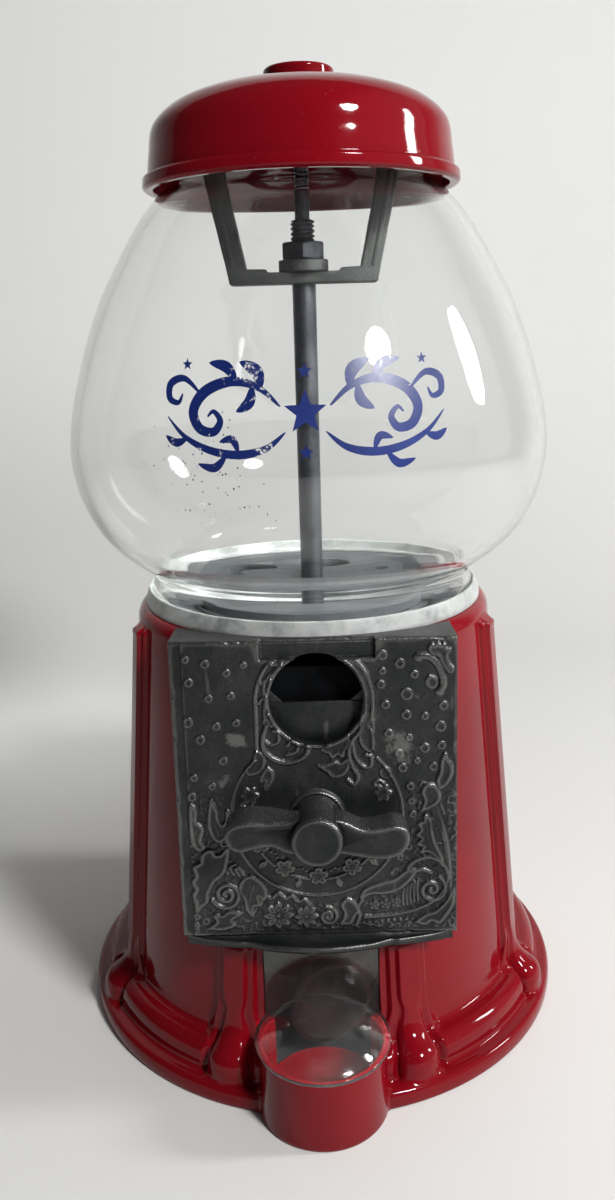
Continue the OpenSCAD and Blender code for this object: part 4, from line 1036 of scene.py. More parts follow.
leaf([(-41.8, 3.6), (-36.4, 3.2), (-31.8, 4.8), (-33.0, 7.0), (-29.4, 9.4), (-33.8, 10.2), (-36.4, 8.6), (-39.4, 8.8),
      (-38.4, 6.2)], 0.36, 0.6)
for x, s, radius in [(-46.6, 4.6, 1.5), (-46.0, 8.4, 1.2), (-42.6, 6.4, 1.4), (-46.9, 38.4, 1.9)]:
    boss(x, s, radius)
dot(-31.6, 36.0, 1.9, 0.5)
# flame leaves, middle left
leaf([(-46.0, 53.4), (-44.4, 51.0), (-44.6, 46.6), (-42.2, 43.6), (-43.2, 39.4), (-42.0, 36.4), (-44.0, 35.4),
      (-46.0, 38.0), (-46.8, 44.0), (-46.6, 49.8)], 0.40, 0.65)
leaf([(-38.6, 54.8), (-36.8, 51.0), (-36.6, 47.6), (-35.0, 44.8), (-33.2, 47.0), (-32.8, 50.6), (-31.6, 47.0),
      (-32.4, 42.6), (-34.4, 39.6), (-36.6, 38.6), (-38.8, 41.0), (-39.8, 45.0), (-39.4, 50.0)], 0.38, 0.65)
line([(-38.0, 53.0), (-37.8, 47.0), (-36.4, 41.0)], 0.34, 0.6)
line(spiral(-34.6, 38.2, 2.2, 1.2, 90, -1), 0.4, 0.55)
# rosettes and a scalloped edge along the foot
line([(-22.0, 12.6), (-20.4, 16.4), (-17.6, 15.4), (-15.2, 17.4), (-12.6, 15.2), (-10.2, 16.2), (-8.0, 13.8),
      (-5.6, 14.6), (-3.6, 12.4)], 0.5, 0.6)
for x, s, size in [(-15.4, 8.2, 5.4), (-5.0, 7.6, 4.4)]:
    for k in range(8):
        a = 45 * k
        leaf(turned([(0.30, 0), (0.62, 0.20), (0.98, 0.0), (0.62, -0.20)], x, s, a, size), 0.3, 0.5, 4, 0.3)
    dot(x, s, 0.24 * size, 0.75)
line(spiral(3.2, 7.4, 3.9, 1.8, 100, -1), 0.5, 0.6)
leaf([(7.8, 4.2), (9.6, 8.0), (8.4, 11.8), (10.2, 14.4), (13.0, 13.0), (14.6, 9.8), (13.2, 7.6), (11.6, 4.6)],
     0.36, 0.6)
line([(13.6, 3.4), (15.0, 7.2), (14.4, 11.0), (16.2, 14.0)], 0.45, 0.55)
print("field ornament reaches", round(float(ornament.max()), 2), "mm")

# %% [markdown]
# The dial and the arch carry their own ornament: curling acanthus under the window, a worn leaf
# edge round it, and a garland of five flowers on swags round the lower half of the dial.

# %% Dial and arch ornament
line([(-17.2, 83.0), (-18.8, 78.0), (-18.4, 73.4), (-14.8, 69.8), (-9.6, 68.6), (-4.6, 70.2), (-2.4, 74.0),
      (-4.0, 78.0), (-6.4, 77.2)], 0.62, 0.68)
line([(-10.2, 71.6), (-7.0, 72.6), (-6.0, 75.4), (-8.2, 76.8), (-10.0, 75.0)], 0.5, 0.6)
line([(-18.6, 77.6), (-16.2, 75.6), (-13.4, 76.6), (-13.0, 79.8), (-14.8, 80.8)], 0.5, 0.62)
leaf([(-21.4, 73.2), (-18.6, 71.0), (-18.8, 67.6), (-21.0, 65.0), (-24.2, 64.4), (-25.2, 66.6), (-23.0, 68.6)],
     0.3, 0.55)
leaf([(-17.4, 66.8), (-15.6, 64.6), (-16.2, 61.0), (-18.4, 58.6), (-18.2, 62.0), (-20.0, 61.6), (-19.2, 64.6)],
     0.3, 0.55)
line([(17.4, 86.0), (16.6, 80.4), (13.6, 76.6), (12.2, 72.0), (13.4, 66.6), (15.4, 62.6), (13.8, 59.8), (11.6, 61.4)],
     0.55, 0.65)
line([(13.6, 76.2), (14.4, 70.4), (17.4, 66.4), (20.0, 66.8), (20.2, 70.2), (18.2, 70.8)], 0.48, 0.6)
leaf([(17.8, 84.6), (20.0, 80.4), (21.2, 75.8), (19.8, 72.4), (17.2, 74.2), (16.2, 78.2), (17.0, 81.2)], 0.34, 0.6)
leaf([(11.8, 78.6), (9.0, 79.2), (6.4, 77.6), (3.6, 76.8), (4.6, 74.8), (2.6, 73.0), (5.0, 72.0), (6.0, 70.2),
      (8.0, 71.6), (9.8, 70.6), (10.6, 73.0), (12.0, 75.6)], 0.34, 0.6)
leaf([(0.8, 67.2), (4.0, 67.6), (6.6, 68.4), (9.2, 68.0), (11.8, 69.6), (11.8, 66.0), (9.6, 63.4), (6.6, 62.8),
      (3.8, 65.0)], 0.36, 0.55)


def round_window(r, t):
    """A point at a radius and an angle, in radians, round the coin window."""
    return WINDOW_X + r * math.cos(t), WINDOW_S + r * math.sin(t)


def round_dial(r, t):
    return r * math.cos(t), SHAFT_S + r * math.sin(t)


line([round_window(18.9 + 0.55 * math.cos(9 * t), t) for t in np.radians(np.arange(100, 212, 5))], 0.42, 0.55)
for t in (112, 133, 154, 175, 196):
    line([round_window(r, math.radians(t) + w) for r, w in [(18.2, 0), (19.6, 0.05), (20.6, 0.13)]], 0.4, 0.55)
for r, rise in ((18.6, 0.75), (20.4, 0.6)):
    line([round_window(r, t) for t in np.radians(np.arange(88, -32, -6))], 0.62, rise)
line([round_window(19.4, t) for t in np.radians(np.arange(86, 30, -8))], 1.3, 0.8, 0.8)

flower = [(0.28, 0), (0.55, 0.30), (0.95, 0.22), (0.95, -0.22), (0.55, -0.30)]
for azimuth_on_dial in (-64, -32, 0, 32, 64):
    x, s = round_dial(23.6, math.radians(azimuth_on_dial - 90))
    for petal in range(5):
        leaf(turned(flower, x, s, 72 * petal + azimuth_on_dial + 90, 3.3), 0.28, 0.55, 4, 0.32)
    dot(x, s, 1.0, 0.7)
    if azimuth_on_dial < 64:
        line([round_dial(25.0, math.radians(azimuth_on_dial + v - 90)) for v in (8, 12, 16, 20, 24)], 0.4, 0.5)
        for v, r in ((12, 22.0), (16, 21.4), (20, 22.0)):
            dot(*round_dial(r, math.radians(azimuth_on_dial + v - 90)), 0.7, 0.5)
        leaf(turned([(0, -1.5), (0.8, 0), (0, 1.8), (-0.8, 0)],
                    *round_dial(27.6, math.radians(azimuth_on_dial - 74)), azimuth_on_dial + 16), 0.25, 0.5, 4, 0.3)
for way in (-1, 1):
    x, s = way * 24.2, SHAFT_S + 8.8
    for k in range(6):
        leaf(turned([(0.25, 0), (0.6, 0.22), (1.0, 0.0), (0.6, -0.22)], x, s, 60 * k, 3.1), 0.25, 0.5, 4, 0.3)
    dot(x, s, 0.8, 0.6)
    line(turned([(4.2, -1.4), (6.0, 0.6), (5.2, 3.0), (3.6, 2.6)], x, s, 100 if way > 0 else 80, 0.8, way), 0.36, 0.5)
boss(25.4, SHAFT_S + 16.4, 2.2)
print("dial ornament done")

# %% [markdown]
# Under the ornament lie the plain forms: the arch and the dial stand 1.8 mm proud with firm
# shoulders, the bushing's boss stands 3.2 mm proud, and a strip along the top is ground flat. The
# plate's own edge is rounded by wear and nicked in places.

# %% Relief height
rng = np.random.default_rng(7)
PROUD = 1.8


def blur(field, reach):
    """A box average over reach points each way, three times over, which is close to a bell curve."""
    for _ in range(3):
        for axis in (0, 1):
            pad = [(reach, reach) if a == axis else (0, 0) for a in (0, 1)]
            total = np.cumsum(np.pad(field, pad, "edge"), axis)
            total = np.insert(total, 0, 0, axis)
            n = 2 * reach + 1
            high = np.take(total, range(n, total.shape[axis]), axis)
            low = np.take(total, range(0, total.shape[axis] - n), axis)
            field = (high - low) / n
    return field


def bead_at(away, half_width, rise):
    return rise * np.sqrt(np.clip(1 - (away / half_width) ** 2, 0, 1))


dial_far = np.hypot(X, S - SHAFT_S)
arch_far = np.where(S > WINDOW_S, np.hypot(X, S - WINDOW_S), np.abs(X))
dial_in = DIAL_R - dial_far
arch_in = np.where(S > 62, WINDOW_R + 5.4 - arch_far, -9)
window_far = np.hypot(X - WINDOW_X, S - WINDOW_S)
on_arch = (dial_in < -0.2) | (S > 74)
on_dial = (arch_in < 0.2) | (S < 70)
raised_in = np.maximum(dial_in, arch_in)
level = PROUD * edge(raised_in, -0.1, 0.7)
level += bead_at(dial_in - 1.0, 0.9, 0.55) * on_dial + bead_at(arch_in - 1.1, 1.1, 0.8) * on_arch
level -= 0.5 * edge(arch_in, 1.9, 2.4) * (1 - edge(arch_in, 3.2, 3.9)) * on_arch
level += bead_at(window_far - WINDOW_R - 0.8, 0.85, 0.7)
level -= 0.4 * edge(-raised_in, 0.1, 0.5) * (1 - edge(-raised_in, 0.9, 2.4))
level -= bead_at(dial_far - 15.2, 0.5, 0.25)
level = np.maximum(level, PROUD + 1.4 * edge(10.9 - dial_far, 0, 1.3) - bead_at(dial_far - 8.3, 0.7, 0.5))
flat = edge(X, -19.4, -18.6) * (1 - edge(X, 21.6, 22.4)) * edge(S, 106.8, 107.5)
margin = 1 - edge(X, -47.4, -46.8)
ragged = blur(rng.standard_normal(X.shape), 6)
ragged = ragged / np.abs(ragged).max()
height_map = level + ornament * (1 - flat) * (1 - margin * 0.6) - 0.4 * margin
height_map = height_map * (1 - flat) + flat * (-0.45 + 0.08 * rng.standard_normal(X.shape[0])[:, None])
height_map += 0.10 * ragged
curls = blur(rng.standard_normal(X.shape), 2)
curls = 1 - edge(np.abs(curls) / curls.std(), 0.15, 0.75)
bare_field = (1 - edge(S, 50, 64)) * edge(-dial_in, 1.5, 3.0) * edge(X, -48, -46) * edge(S, 1.5, 3)
height_map += 0.34 * curls * bare_field * (1 - np.clip(ornament / 0.3, 0, 1))
from_edge = np.minimum(np.minimum(X + PLATE_HALF, PLATE_HALF - X), np.minimum(S, PLATE_H - S))
nicks = np.clip(blur(rng.standard_normal(X.shape), 3) * 9 - 0.7, 0, 1)
rounding = 0.9 + 0.7 * nicks
drop = 1 - np.sqrt(np.clip(1 - (1 - np.clip(from_edge / rounding, 0, 1)) ** 2, 0, 1))
height_map -= drop * rounding
print("relief from", round(float(height_map.min()), 2), "to", round(float(height_map.max()), 2), "mm")

# %% [markdown]
# What a thumb rubs stands above its surroundings, and what keeps dirt lies below them. The finish
# also paints light there: a highlight on what stands up and shade in what lies low. So the
# difference between the height and its blurred self is stored on the mesh, and the finish reads it.
# The two bare patches, where the dark finish has flaked, are stored beside it.

# %% Relief solid
# How far a point stands above or sinks below its neighbours: rubbed metal and a painted highlight where it stands up,
# dirt and painted shade where it sinks.
fine_rub_and_painted_light = height_map - blur(height_map, 2)
broad_rub_and_painted_light = height_map - blur(height_map, 7)
rub_and_painted_light = np.clip(fine_rub_and_painted_light / 0.20 + broad_rub_and_painted_light / 0.42, -1.5, 1.5)
rub_and_painted_light = np.maximum(rub_and_painted_light, 0.75 * (1 - edge(from_edge, 0.1, 0.7)))


def patch(x, s, wide, high, turn=0.0):
    c, n = math.cos(math.radians(turn)), math.sin(math.radians(turn))
    a, b = (X - x) * c + (S - s) * n, -(X - x) * n + (S - s) * c
    return np.exp(-(a / wide) ** 2 - (b / high) ** 2)


flaked = np.maximum(patch(-28.4, 77.4, 5.5, 3.6, -20), patch(31.0, 73.5, 8.5, 9.5, 20) * 0.8)
flaked = np.maximum(flaked, patch(-33.5, 62.0, 4.0, 2.6, 40) * 0.8)
flaked = np.maximum(flaked, patch(36.5, 92.0, 9.0, 7.0) * 0.45)


def store(mesh, name, values):
    field = mesh.attributes.new(name, "FLOAT", "POINT")
    field.data.foreach_set("value", np.asarray(values, np.float32))


def relief_solid():
    rows, columns = X.shape
    front = np.stack([X, -height_map, S], 2).reshape(-1, 3)
    index = np.arange(rows * columns).reshape(rows, columns)
    loop = np.concatenate([index[0, :-1], index[:-1, -1], index[-1, :0:-1], index[:0:-1, 0]])
    behind = front[loop].copy()
    behind[:, 1] = 1.4
    count = len(loop)
    points = in_plate(np.concatenate([front, behind]))
    faces = [tuple(f) for f in grid_faces(rows, columns)]
    after, first = np.roll(loop, -1), rows * columns
    faces += [(int(loop[i]), int(after[i]), first + (i + 1) % count, first + i) for i in range(count)]
    faces.append(tuple(range(first, first + count)))
    obj = piece("plate_relief", points, faces, pewter, "base", 75)
    tail = np.full(count, 0.2)
    store(obj.data, "rub_and_painted_light", np.concatenate([rub_and_painted_light.ravel(), tail]))
    store(obj.data, "flaked", np.concatenate([flaked.ravel(), tail * 0]))
    return obj


def plate_cutter(name, x, s, radius, steps=160):
    """A round cutter that lies along the shaft's direction in the faceplate's frame."""
    ring = [(x + radius * math.cos(a), s + radius * math.sin(a)) for a in full_turn(steps)]
    return cutter(name, in_plate([(u, depth, v) for depth in (-10, 10) for u, v in ring]), prism_faces(steps))


def plate_holes():
    return (plate_cutter("window_hole", WINDOW_X, WINDOW_S, WINDOW_R),
            plate_cutter("bush_hole", 0, SHAFT_S, BUSH_R))


def pewter_finish():
    f = Finish("pewter")
    rub_and_painted_light_wire = f.node("Attribute", {"attribute_name": "rub_and_painted_light"}, {}, "Fac")
    flaked_wire = f.node("Attribute", {"attribute_name": "flaked"}, {}, "Fac")
    cloud = f.noise(38, 5, 0.65)
    grain = f.noise(1100, 3, 0.6)
    scratch = f.noise(230, 2, 0.5, (1, 1, 0.05)).rise(0.66, 0.72) * f.noise(60, 2).rise(0.5, 0.6)
    speckle = f.noise(720, 4, 0.75)
    # Lighter where the relief stands up: partly metal rubbed bright, partly a painted highlight.
    bright = (rub_and_painted_light_wire + cloud * 1.1 + speckle * 0.9 - 1.05).rise(0.25, 1.35)
    # Darker where the relief sinks: partly dirt, partly painted shade.
    dirt_and_painted_shade = (rub_and_painted_light_wire * -1 + cloud * 0.4 - 0.12).rise(0.0, 0.75)
    bare = (flaked_wire + f.noise(330, 6, 0.8) * 1.6 - 1.30).rise(0.0, 0.3)
    dusty = f.noise(75, 6, 0.7).rise(0.52, 0.78) * 0.3
    colour = f.colour(cloud.rise(0.3, 0.7), (0.027, 0.0295, 0.0295), (0.056, 0.0595, 0.058))
    colour = f.colour(speckle.rise(0.35, 0.65) * 0.45, colour, (0.024, 0.026, 0.026))
    colour = f.colour(dirt_and_painted_shade * 0.95, colour, (0.005, 0.0053, 0.0053))
    colour = f.colour(dusty, colour, (0.14, 0.138, 0.13))
    colour = f.colour((bright * 0.32).most(scratch * 0.30), colour, (0.28, 0.28, 0.27))
    colour = f.colour(bare * 0.35, colour, (0.36, 0.36, 0.34))
    rough = grain * 0.20 + dirt_and_painted_shade * 0.22 + bare * 0.18 + cloud * 0.14 - bright * 0.14 + 0.24
    return f.show(f.principled(Base_Color=colour, Metallic=0.82, Roughness=rough,
                               Normal=f.bump(grain + speckle + f.noise(190, 4, 0.6) * 1.5, 0.00013)))


pewter = pewter_finish()
relief = relief_solid()
carve(relief, *plate_holes(), sharp=75)
print("relief faces:", len(relief.data.polygons))

# %% [markdown]
# Behind the relief the casting is a shallow box whose walls run back to the cone. It is a box with
# its inside and the cone cut away, and it begins just behind the relief's face so that the two
# read as one piece.

# %% Plate box
plate_box = piece("plate_box", in_plate(box_corners((-PLATE_HALF, 1.3, 0), (PLATE_HALF, 40, PLATE_H))), BOX_FACES,
                  pewter, "base")
box_inside = in_plate(box_corners((-PLATE_HALF + 3, 3, 3), (PLATE_HALF - 3, 60, PLATE_H - 3)))
foot_out, top_out = FOOT_R + 0.25, TOP_R + 0.25
cone_path = [(0.01, FOOT_Z), (foot_out, FOOT_Z), (top_out, SHOULDER_Z), (top_out, 200), (0.01, 200)]
carve(plate_box, cutter("box_inside", box_inside, BOX_FACES), turned_cutter("cone_space", cone_path, steps=256),
      *plate_holes())
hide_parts("faceplate")
print("plate box faces:", len(plate_box.data.polygons))

# %% [markdown]
# ## The lip under the faceplate
#
# A scooped lip catches the eye at the plate's foot: hollow on top, with a thick worn rim whose
# front runs in an ogee. Its sections are all alike apart from their reach, so it is lofted from
# one section scaled along the rim's curve.

# %% Plate lip
lip_edge = curve([(-50.0, -0.4), (-42.5, 2.6), (-29, 5.4), (-25, 5.8), (-18, 8.6), (0, 11), (18, 8.6), (25, 5.8),
                  (29, 5.4), (42.5, 2.6), (50.0, -0.4)], 12)
lip_notch = 0.5 * np.exp(-((np.abs(lip_edge[:, 0]) - 27.2) / 1.6) ** 2)
lip_section = [(-1.6, 1.3), (-0.3, 1.1), (0.05, 0.55), (0.16, -0.3), (0.32, -1.1), (0.50, -1.45), (0.68, -1.3),
               (0.82, -0.85), (0.90, -0.60), (0.955, -0.72), (0.99, -1.2), (1.0, -1.8), (0.985, -2.5), (0.94, -3.1),
               (0.88, -3.4), (0.3, -3.4), (-1.6, -3.4)]
section = np.array(lip_section)
sections = []
for (x, reach_here), notch in zip(lip_edge, lip_notch):
    reach_here = max(reach_here - notch, 0.3)
    depth = np.where(section[:, 0] > 0, section[:, 0] * reach_here, section[:, 0])
    shallow = min(1.0, 0.35 + reach_here / 8)
    hollow = np.where(section[:, 1] < -2.2, section[:, 1], section[:, 1] * shallow)
    sections.append(np.stack([np.full(len(section), x), -depth, hollow - 0.25 * notch], 1))
lip_points = np.array(sections)
rows, columns = lip_points.shape[:2]
lip_piece = piece("plate_lip", in_plate(lip_points.reshape(-1, 3)), tube_faces(rows, columns), pewter, "base",
                  60)
# The rim is stored as standing out, so the finish makes it lighter: worn metal with a painted highlight.
rim_rub_and_highlight = np.clip(1.2 - np.abs(section[:, 0] - 0.96) / 0.07, 0, 1.2) * (section[:, 1] > -2.4)
store(lip_piece.data, "rub_and_painted_light", np.tile(rim_rub_and_highlight + 0.05, rows))
store(lip_piece.data, "flaked", np.zeros(rows * columns))
print("lip sections:", rows)

# %% [markdown]
# ## The coin window
#
# Behind the round window a half disc guides the coin, with its straight edge across the middle.
# Two small facets close the corners above it.

# %% Coin lip
def plate_prism(name, outline, front, back, round_by):
    """A prism in the faceplate's frame, from an outline in x and s."""
    points = in_plate([(x, d, s) for d in (front, back) for x, s in outline])
    return rounded_prism(name, points, pewter, round_by, 28, 40)


LIP_R, LIP_DROP = 19, -2.1
start = math.degrees(math.asin(LIP_DROP / LIP_R))
arc = [round_window(LIP_R, math.radians(a)) for a in np.linspace(180 - start, 360 + start, 48)]
coin_lip = plate_prism("coin_lip_plate", arc, 3.02, 4.2, 0.25)
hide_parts("coin_lip")
for name, way, x in (("coin_facet_left", 1, -17.6), ("coin_facet_right", -1, 19.2)):
    plate_prism(name, [(x, 89.9), (x + way * 6.2, 89.9), (x + way * 1.2, 94.6), (x, 95.4)], 3.4, 4.4, 0.2)
print("coin lip arc:", len(arc), "points")

# %% [markdown]
# ## The handle
#
# The handle is one die casting: a round hub with two thick wings that bow in opposite ways, like a
# propeller seen from the front. Its wings lean, so their upper faces slope towards the hand. Two
# outlines, one at the back and one at the front, are joined by rows of points with the corners
# rounded off, which a plain bevel couldn't lean.

# %% Handle
WING = [(0.02, 0.76), (0.12, 0.74), (0.31, 0.70), (0.49, 0.41), (0.68, 0.48), (0.83, 0.61), (0.95, 0.41), (1, -0.14),
        (0.94, -0.70), (0.77, -1), (0.52, -0.95), (0.28, -0.77), (0.12, -0.80), (0.02, -0.80)]
WING_SPAN, WING_HALF, WING_FRONT, WING_BACK, HUB_R, NOSE_R = 32.5, 8.8, -20.0, -11.0, 9.0, 7.5


def store_rub_and_painted_light(obj):
    """Stores worn edges that stand out and faces that look up, both with a painted highlight. The flat nose stays
    dull.
    """
    mesh = obj.data
    count = len(mesh.vertices)
    at = np.zeros(count * 3)
    mesh.vertices.foreach_get("co", at)
    at = at.reshape(-1, 3) / MM
    normal = np.zeros(count * 3)
    mesh.vertex_normals.foreach_get("vector", normal)
    normal = normal.reshape(-1, 3)
    pair = np.zeros(len(mesh.edges) * 2, int)
    mesh.edges.foreach_get("vertices", pair)
    a, b = pair.reshape(-1, 2).T
    length = np.linalg.norm(at[b] - at[a], axis=1)
    a, b, length = a[length > 0.06], b[length > 0.06], length[length > 0.06]
    way = (at[b] - at[a]) / length[:, None]
    out = np.zeros(count)
    ties = np.zeros(count) + 1e-6
    for first, second, sign in ((a, b, -1), (b, a, 1)):
        np.add.at(out, first, sign * (normal[first] * way).sum(1))
        np.add.at(ties, first, 1)
    out /= ties
    for _ in range(2):
        total = np.zeros(count)
        np.add.at(total, a, out[b])
        np.add.at(total, b, out[a])
        out = 0.5 * out + 0.5 * total / ties
    shaft = in_plate([(0, 0, SHAFT_S), (0, 1, SHAFT_S)])
    off_axis = np.linalg.norm(np.cross(at - shaft[0], shaft[1] - shaft[0]), axis=1)
    # Faces that look up are stored lighter: a painted highlight, as if lit from above.
    painted_top_light = 0.22 + 0.9 * np.clip(normal[:, 2], 0, 1)
    store(mesh, "rub_and_painted_light", np.clip(np.where(off_axis > NOSE_R, out * 27 + painted_top_light, 0), -0.6, 1.3))
    store(mesh, "flaked", np.zeros(count))


def shrink(outline, by):
    """The outline moved inward by a small distance."""
    before, after = np.roll(outline, 1, axis=0), np.roll(outline, -1, axis=0)
    way = after - before
    way /= np.linalg.norm(way, axis=1)[:, None] + 1e-9
    inward = np.stack([way[:, 1], -way[:, 0]], 1)
    return outline + inward * by


def wing(name, way):
    outline = curve(WING, 8) * (way * WING_SPAN, way * WING_HALF)
    rows = []
    radius = 1.0
    for t in np.linspace(0, math.pi / 2, 7):
        rows.append((WING_BACK - radius * 0.6 * (1 - math.cos(t)), radius * 0.6 * (1 - math.sin(t))))
    for t in np.linspace(0, math.pi / 2, 9):
        rows.append((WING_FRONT + radius * (1 - math.sin(t)), radius * (1 - math.cos(t))))
    rows += [(WING_FRONT, radius + 0.5), (WING_FRONT + 0.05, radius + 1.1), (WING_FRONT + 0.15, radius + 2.0)]
    found = []
    for depth, by in rows:
        ring = shrink(outline, by)
        share = (depth - WING_BACK) / (WING_FRONT - WING_BACK)
        lean = -3.0 * share * np.clip(ring[:, 1] / WING_HALF, 0, 1) * np.clip((np.abs(ring[:, 0]) - 6) / 12, 0, 1)
        found.append(np.stack([ring[:, 0], np.full(len(ring), depth), SHAFT_S + ring[:, 1] + lean], 1))
    points = np.array(found)
    return cutter(name, in_plate(points.reshape(-1, 3)), tube_faces(*points.shape[:2]))


def hub(steps=128):
    """The hub's profile of radius and distance in front of the plate, swept round the shaft."""
    radius, front = rounded([(0.01, 3.6, 0), (0.01, 24.8, 0), (6.6, 24.9, 0), (7.6, 25.0, 0), (8.3, 25.0, 0.5),
                             (HUB_R, 23.9, 0.6), (HUB_R, 3.6, 0)], 0.6, 6).T
    angle = full_turn(steps)
    x, s = np.outer(np.cos(angle), radius), SHAFT_S + np.outer(np.sin(angle), radius)
    points = np.stack([x, np.broadcast_to(-front, x.shape), s], 2).reshape(-1, 3)
    return piece("handle_casting", in_plate(points), grid_faces(steps, len(radius), True, True), pewter, "handle")


handle = hub()
carve(handle, wing("wing_right", 1), wing("wing_left", -1), operation="UNION", sharp=40)
store_rub_and_painted_light(handle)
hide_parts("handle")
print("handle faces:", len(handle.data.polygons))

# %% [markdown]
# ## The chute flap
#
# The flap is moulded in one from clear plastic: a shallow dome over the cup, a panel that closes
# the chute, and a barrel on the hinge pin. Each form is made closed and they are joined into one
# solid, because a refracting material needs a single skin. A thin bead runs round the dome's rim.

# %% Chute flap
FLAP_R, RIM_Z, DOME_RISE, FLAP_WALL, PANEL_HALF, HINGE_Y, HINGE_Z = 25.6, 28.8, 12.0, 1.6, 21.95, 79.0, 60.5
SPHERE_R = (FLAP_R ** 2 + DOME_RISE ** 2) / (2 * DOME_RISE)
SPHERE_Z = RIM_Z + DOME_RISE - SPHERE_R


def sphere_arc(radius, low, n):
    """Radius and height along a sphere's meridian, from the height low to its pole."""
    start = math.asin((low - SPHERE_Z) / radius)
    t = np.linspace(start, math.pi / 2 - 0.0006, n)
    return [(radius * math.cos(v), SPHERE_Z + radius * math.sin(v)) for v in t]


dome_rim = rounded([(24.0, RIM_Z), (FLAP_R, RIM_Z), (FLAP_R + 0.15, RIM_Z + 1.5), (24.6, RIM_Z + 2.3)], 0.7, 7, False)
dome_path = dome_rim[:-1].tolist()
dome_path += sphere_arc(SPHERE_R, RIM_Z + 2.2, 40) + sphere_arc(SPHERE_R - FLAP_WALL, RIM_Z + 0.6, 36)[::-1]
flap = lathe("flap_dome", dome_path, clear_plastic, "chute_flap", 192, 50, centre=(0, -CUP_Y))
carve(flap, box_cutter("behind_panel", (-60, -PANEL_Y + FLAP_WALL, 0), (60, 60, 90)), sharp=50)
panel = box_cutter("panel", (-PANEL_HALF, -PANEL_Y, RIM_Z), (PANEL_HALF, -PANEL_Y + FLAP_WALL, 59.4))
under_dome = sphere_arc(SPHERE_R - FLAP_WALL, RIM_Z + 0.2, 40)
dome_space = [(0.01, RIM_Z - 4), (under_dome[0][0], RIM_Z - 4)] + under_dome
carve(panel, turned_cutter("dome_space", dome_space, (0, -CUP_Y)))
ledge = box_cutter("ledge", (-PANEL_HALF, -PANEL_Y, 57.5), (PANEL_HALF, -HINGE_Y, 59.1))


def hinge_cutter(name, radius, half_length, steps=48):
    """A bar along the flap's hinge."""
    ring = [(-HINGE_Y + radius * math.cos(a), HINGE_Z + radius * math.sin(a)) for a in full_turn(steps)]
    return cutter(name, [(x, y, z) for x in (-half_length, half_length) for y, z in ring], prism_faces(steps))


carve(flap, panel, ledge, hinge_cutter("barrel", 3.1, PANEL_HALF), operation="UNION", sharp=40)
carve(flap, hinge_cutter("pin_space", 1.55, 30), sharp=40)
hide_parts("chute_flap")
print("flap faces:", len(flap.data.polygons))

# %% [markdown]
# ## The print on the globe
#
# A dark blue print crosses the globe's front: an ordinary flourish of two scrolls with leaves and
# a star between them. It is screen printed on the glass, so it is a thin skin that follows the
# glass a few hundredths of a millimetre out. Ribbons whose width swells and tapers draw it, and
# the finish wears it away in specks where hands rubbed. Loose flakes of ink lie below its left end.

# %% Globe print
print_line = globe_line[globe_line[:, 1].argsort()]


def on_globe(points, off=0.06):
    """From a flat drawing, across and up from the globe's front, to the glass."""
    p = np.asarray(points, float)
    z = 262.0 + p[:, 1]
    r = np.interp(z, print_line[:, 1], print_line[:, 0]) + off
    angle = p[:, 0] / r
    return np.stack([r * np.sin(angle), -r * np.cos(angle), z], 1)


def ribbon(points, width, low, peak):
    """A strip along a smooth path that swells to width at peak and thins to low at its ends."""
    path = curve(points, 10)
    way = np.gradient(path, axis=0)
    way /= np.linalg.norm(way, axis=1)[:, None]
    t = np.linspace(0, 1, len(path))
    swell = np.where(t < peak, np.sin(t / peak * math.pi / 2), np.cos((t - peak) / (1 - peak) * math.pi / 2))
    half_width = (low + (width - low) * swell ** 0.9) / 2
    side = np.stack([-way[:, 1], way[:, 0]], 1) * half_width[:, None]
    return np.stack([path + side, path + side / 3, path - side / 3, path - side], 1)


def star(x, y, radius, inner=0.42):
    """Corners of a star with five points."""
    reach = [radius * (1 if k % 2 == 0 else inner) for k in range(10)]
    return [(x + r * math.cos(math.radians(90 + 36 * k)), y + r * math.sin(math.radians(90 + 36 * k)))
            for k, r in enumerate(reach)]


STROKES = [
    ([(8, 1.5), (15, 7.5), (24, 9.5), (33, 6.5), (37.5, 0.5), (35.5, -5.0), (30.5, -6.2), (28.0, -2.8),
      (30.2, 0.2), (32.4, -1.4)], 3.6, 0.5, 0.35),
    ([(34.5, 5.5), (40.5, 10.5), (46.0, 9.0), (46.6, 4.4), (43.2, 3.0), (41.4, 5.8)], 2.6, 0.4, 0.4),
    ([(6.5, -6.5), (13, -11.5), (22, -13.4), (32, -12.0), (41, -7.8), (47.5, -1.5)], 2.8, 0.3, 0.4),
    ([(14, 7.0), (15.5, 12.5), (21.0, 15.6)], 4.2, 0.0, 0.5),
    ([(22, 9.4), (25.5, 14.0), (31.5, 15.4)], 3.6, 0.0, 0.5),
    ([(17, 8.2), (18.0, 3.0), (22.5, 0.0)], 3.6, 0.0, 0.5),
    ([(22, -13.2), (24.0, -8.6), (28.6, -9.4)], 2.6, 0.0, 0.5),
    ([(40, -8.4), (44.5, -9.8), (48.5, -7.6)], 2.8, 0.0, 0.5),
    ([(26, -13.2), (30.5, -17.6), (36.5, -16.4)], 2.8, 0.0, 0.5),
]
ribbons = [ribbon([(way * x, y) for x, y in points], width, low, peak)
           for way in (-1, 1) for points, width, low, peak in STROKES]
speck_places = np.random.default_rng(11)
specks = [star(*speck_places.normal((-33, -19), (11, 9)), speck_places.uniform(0.12, 0.36), 0.8) for _ in range(90)]
print_points, print_faces = [], []
for strip in ribbons:
    start_at = len(print_points)
    n, m = strip.shape[:2]
    print_points += strip.reshape(-1, 2).tolist()
    print_faces += [tuple(int(v) + start_at for v in f) for f in grid_faces(n, m)]
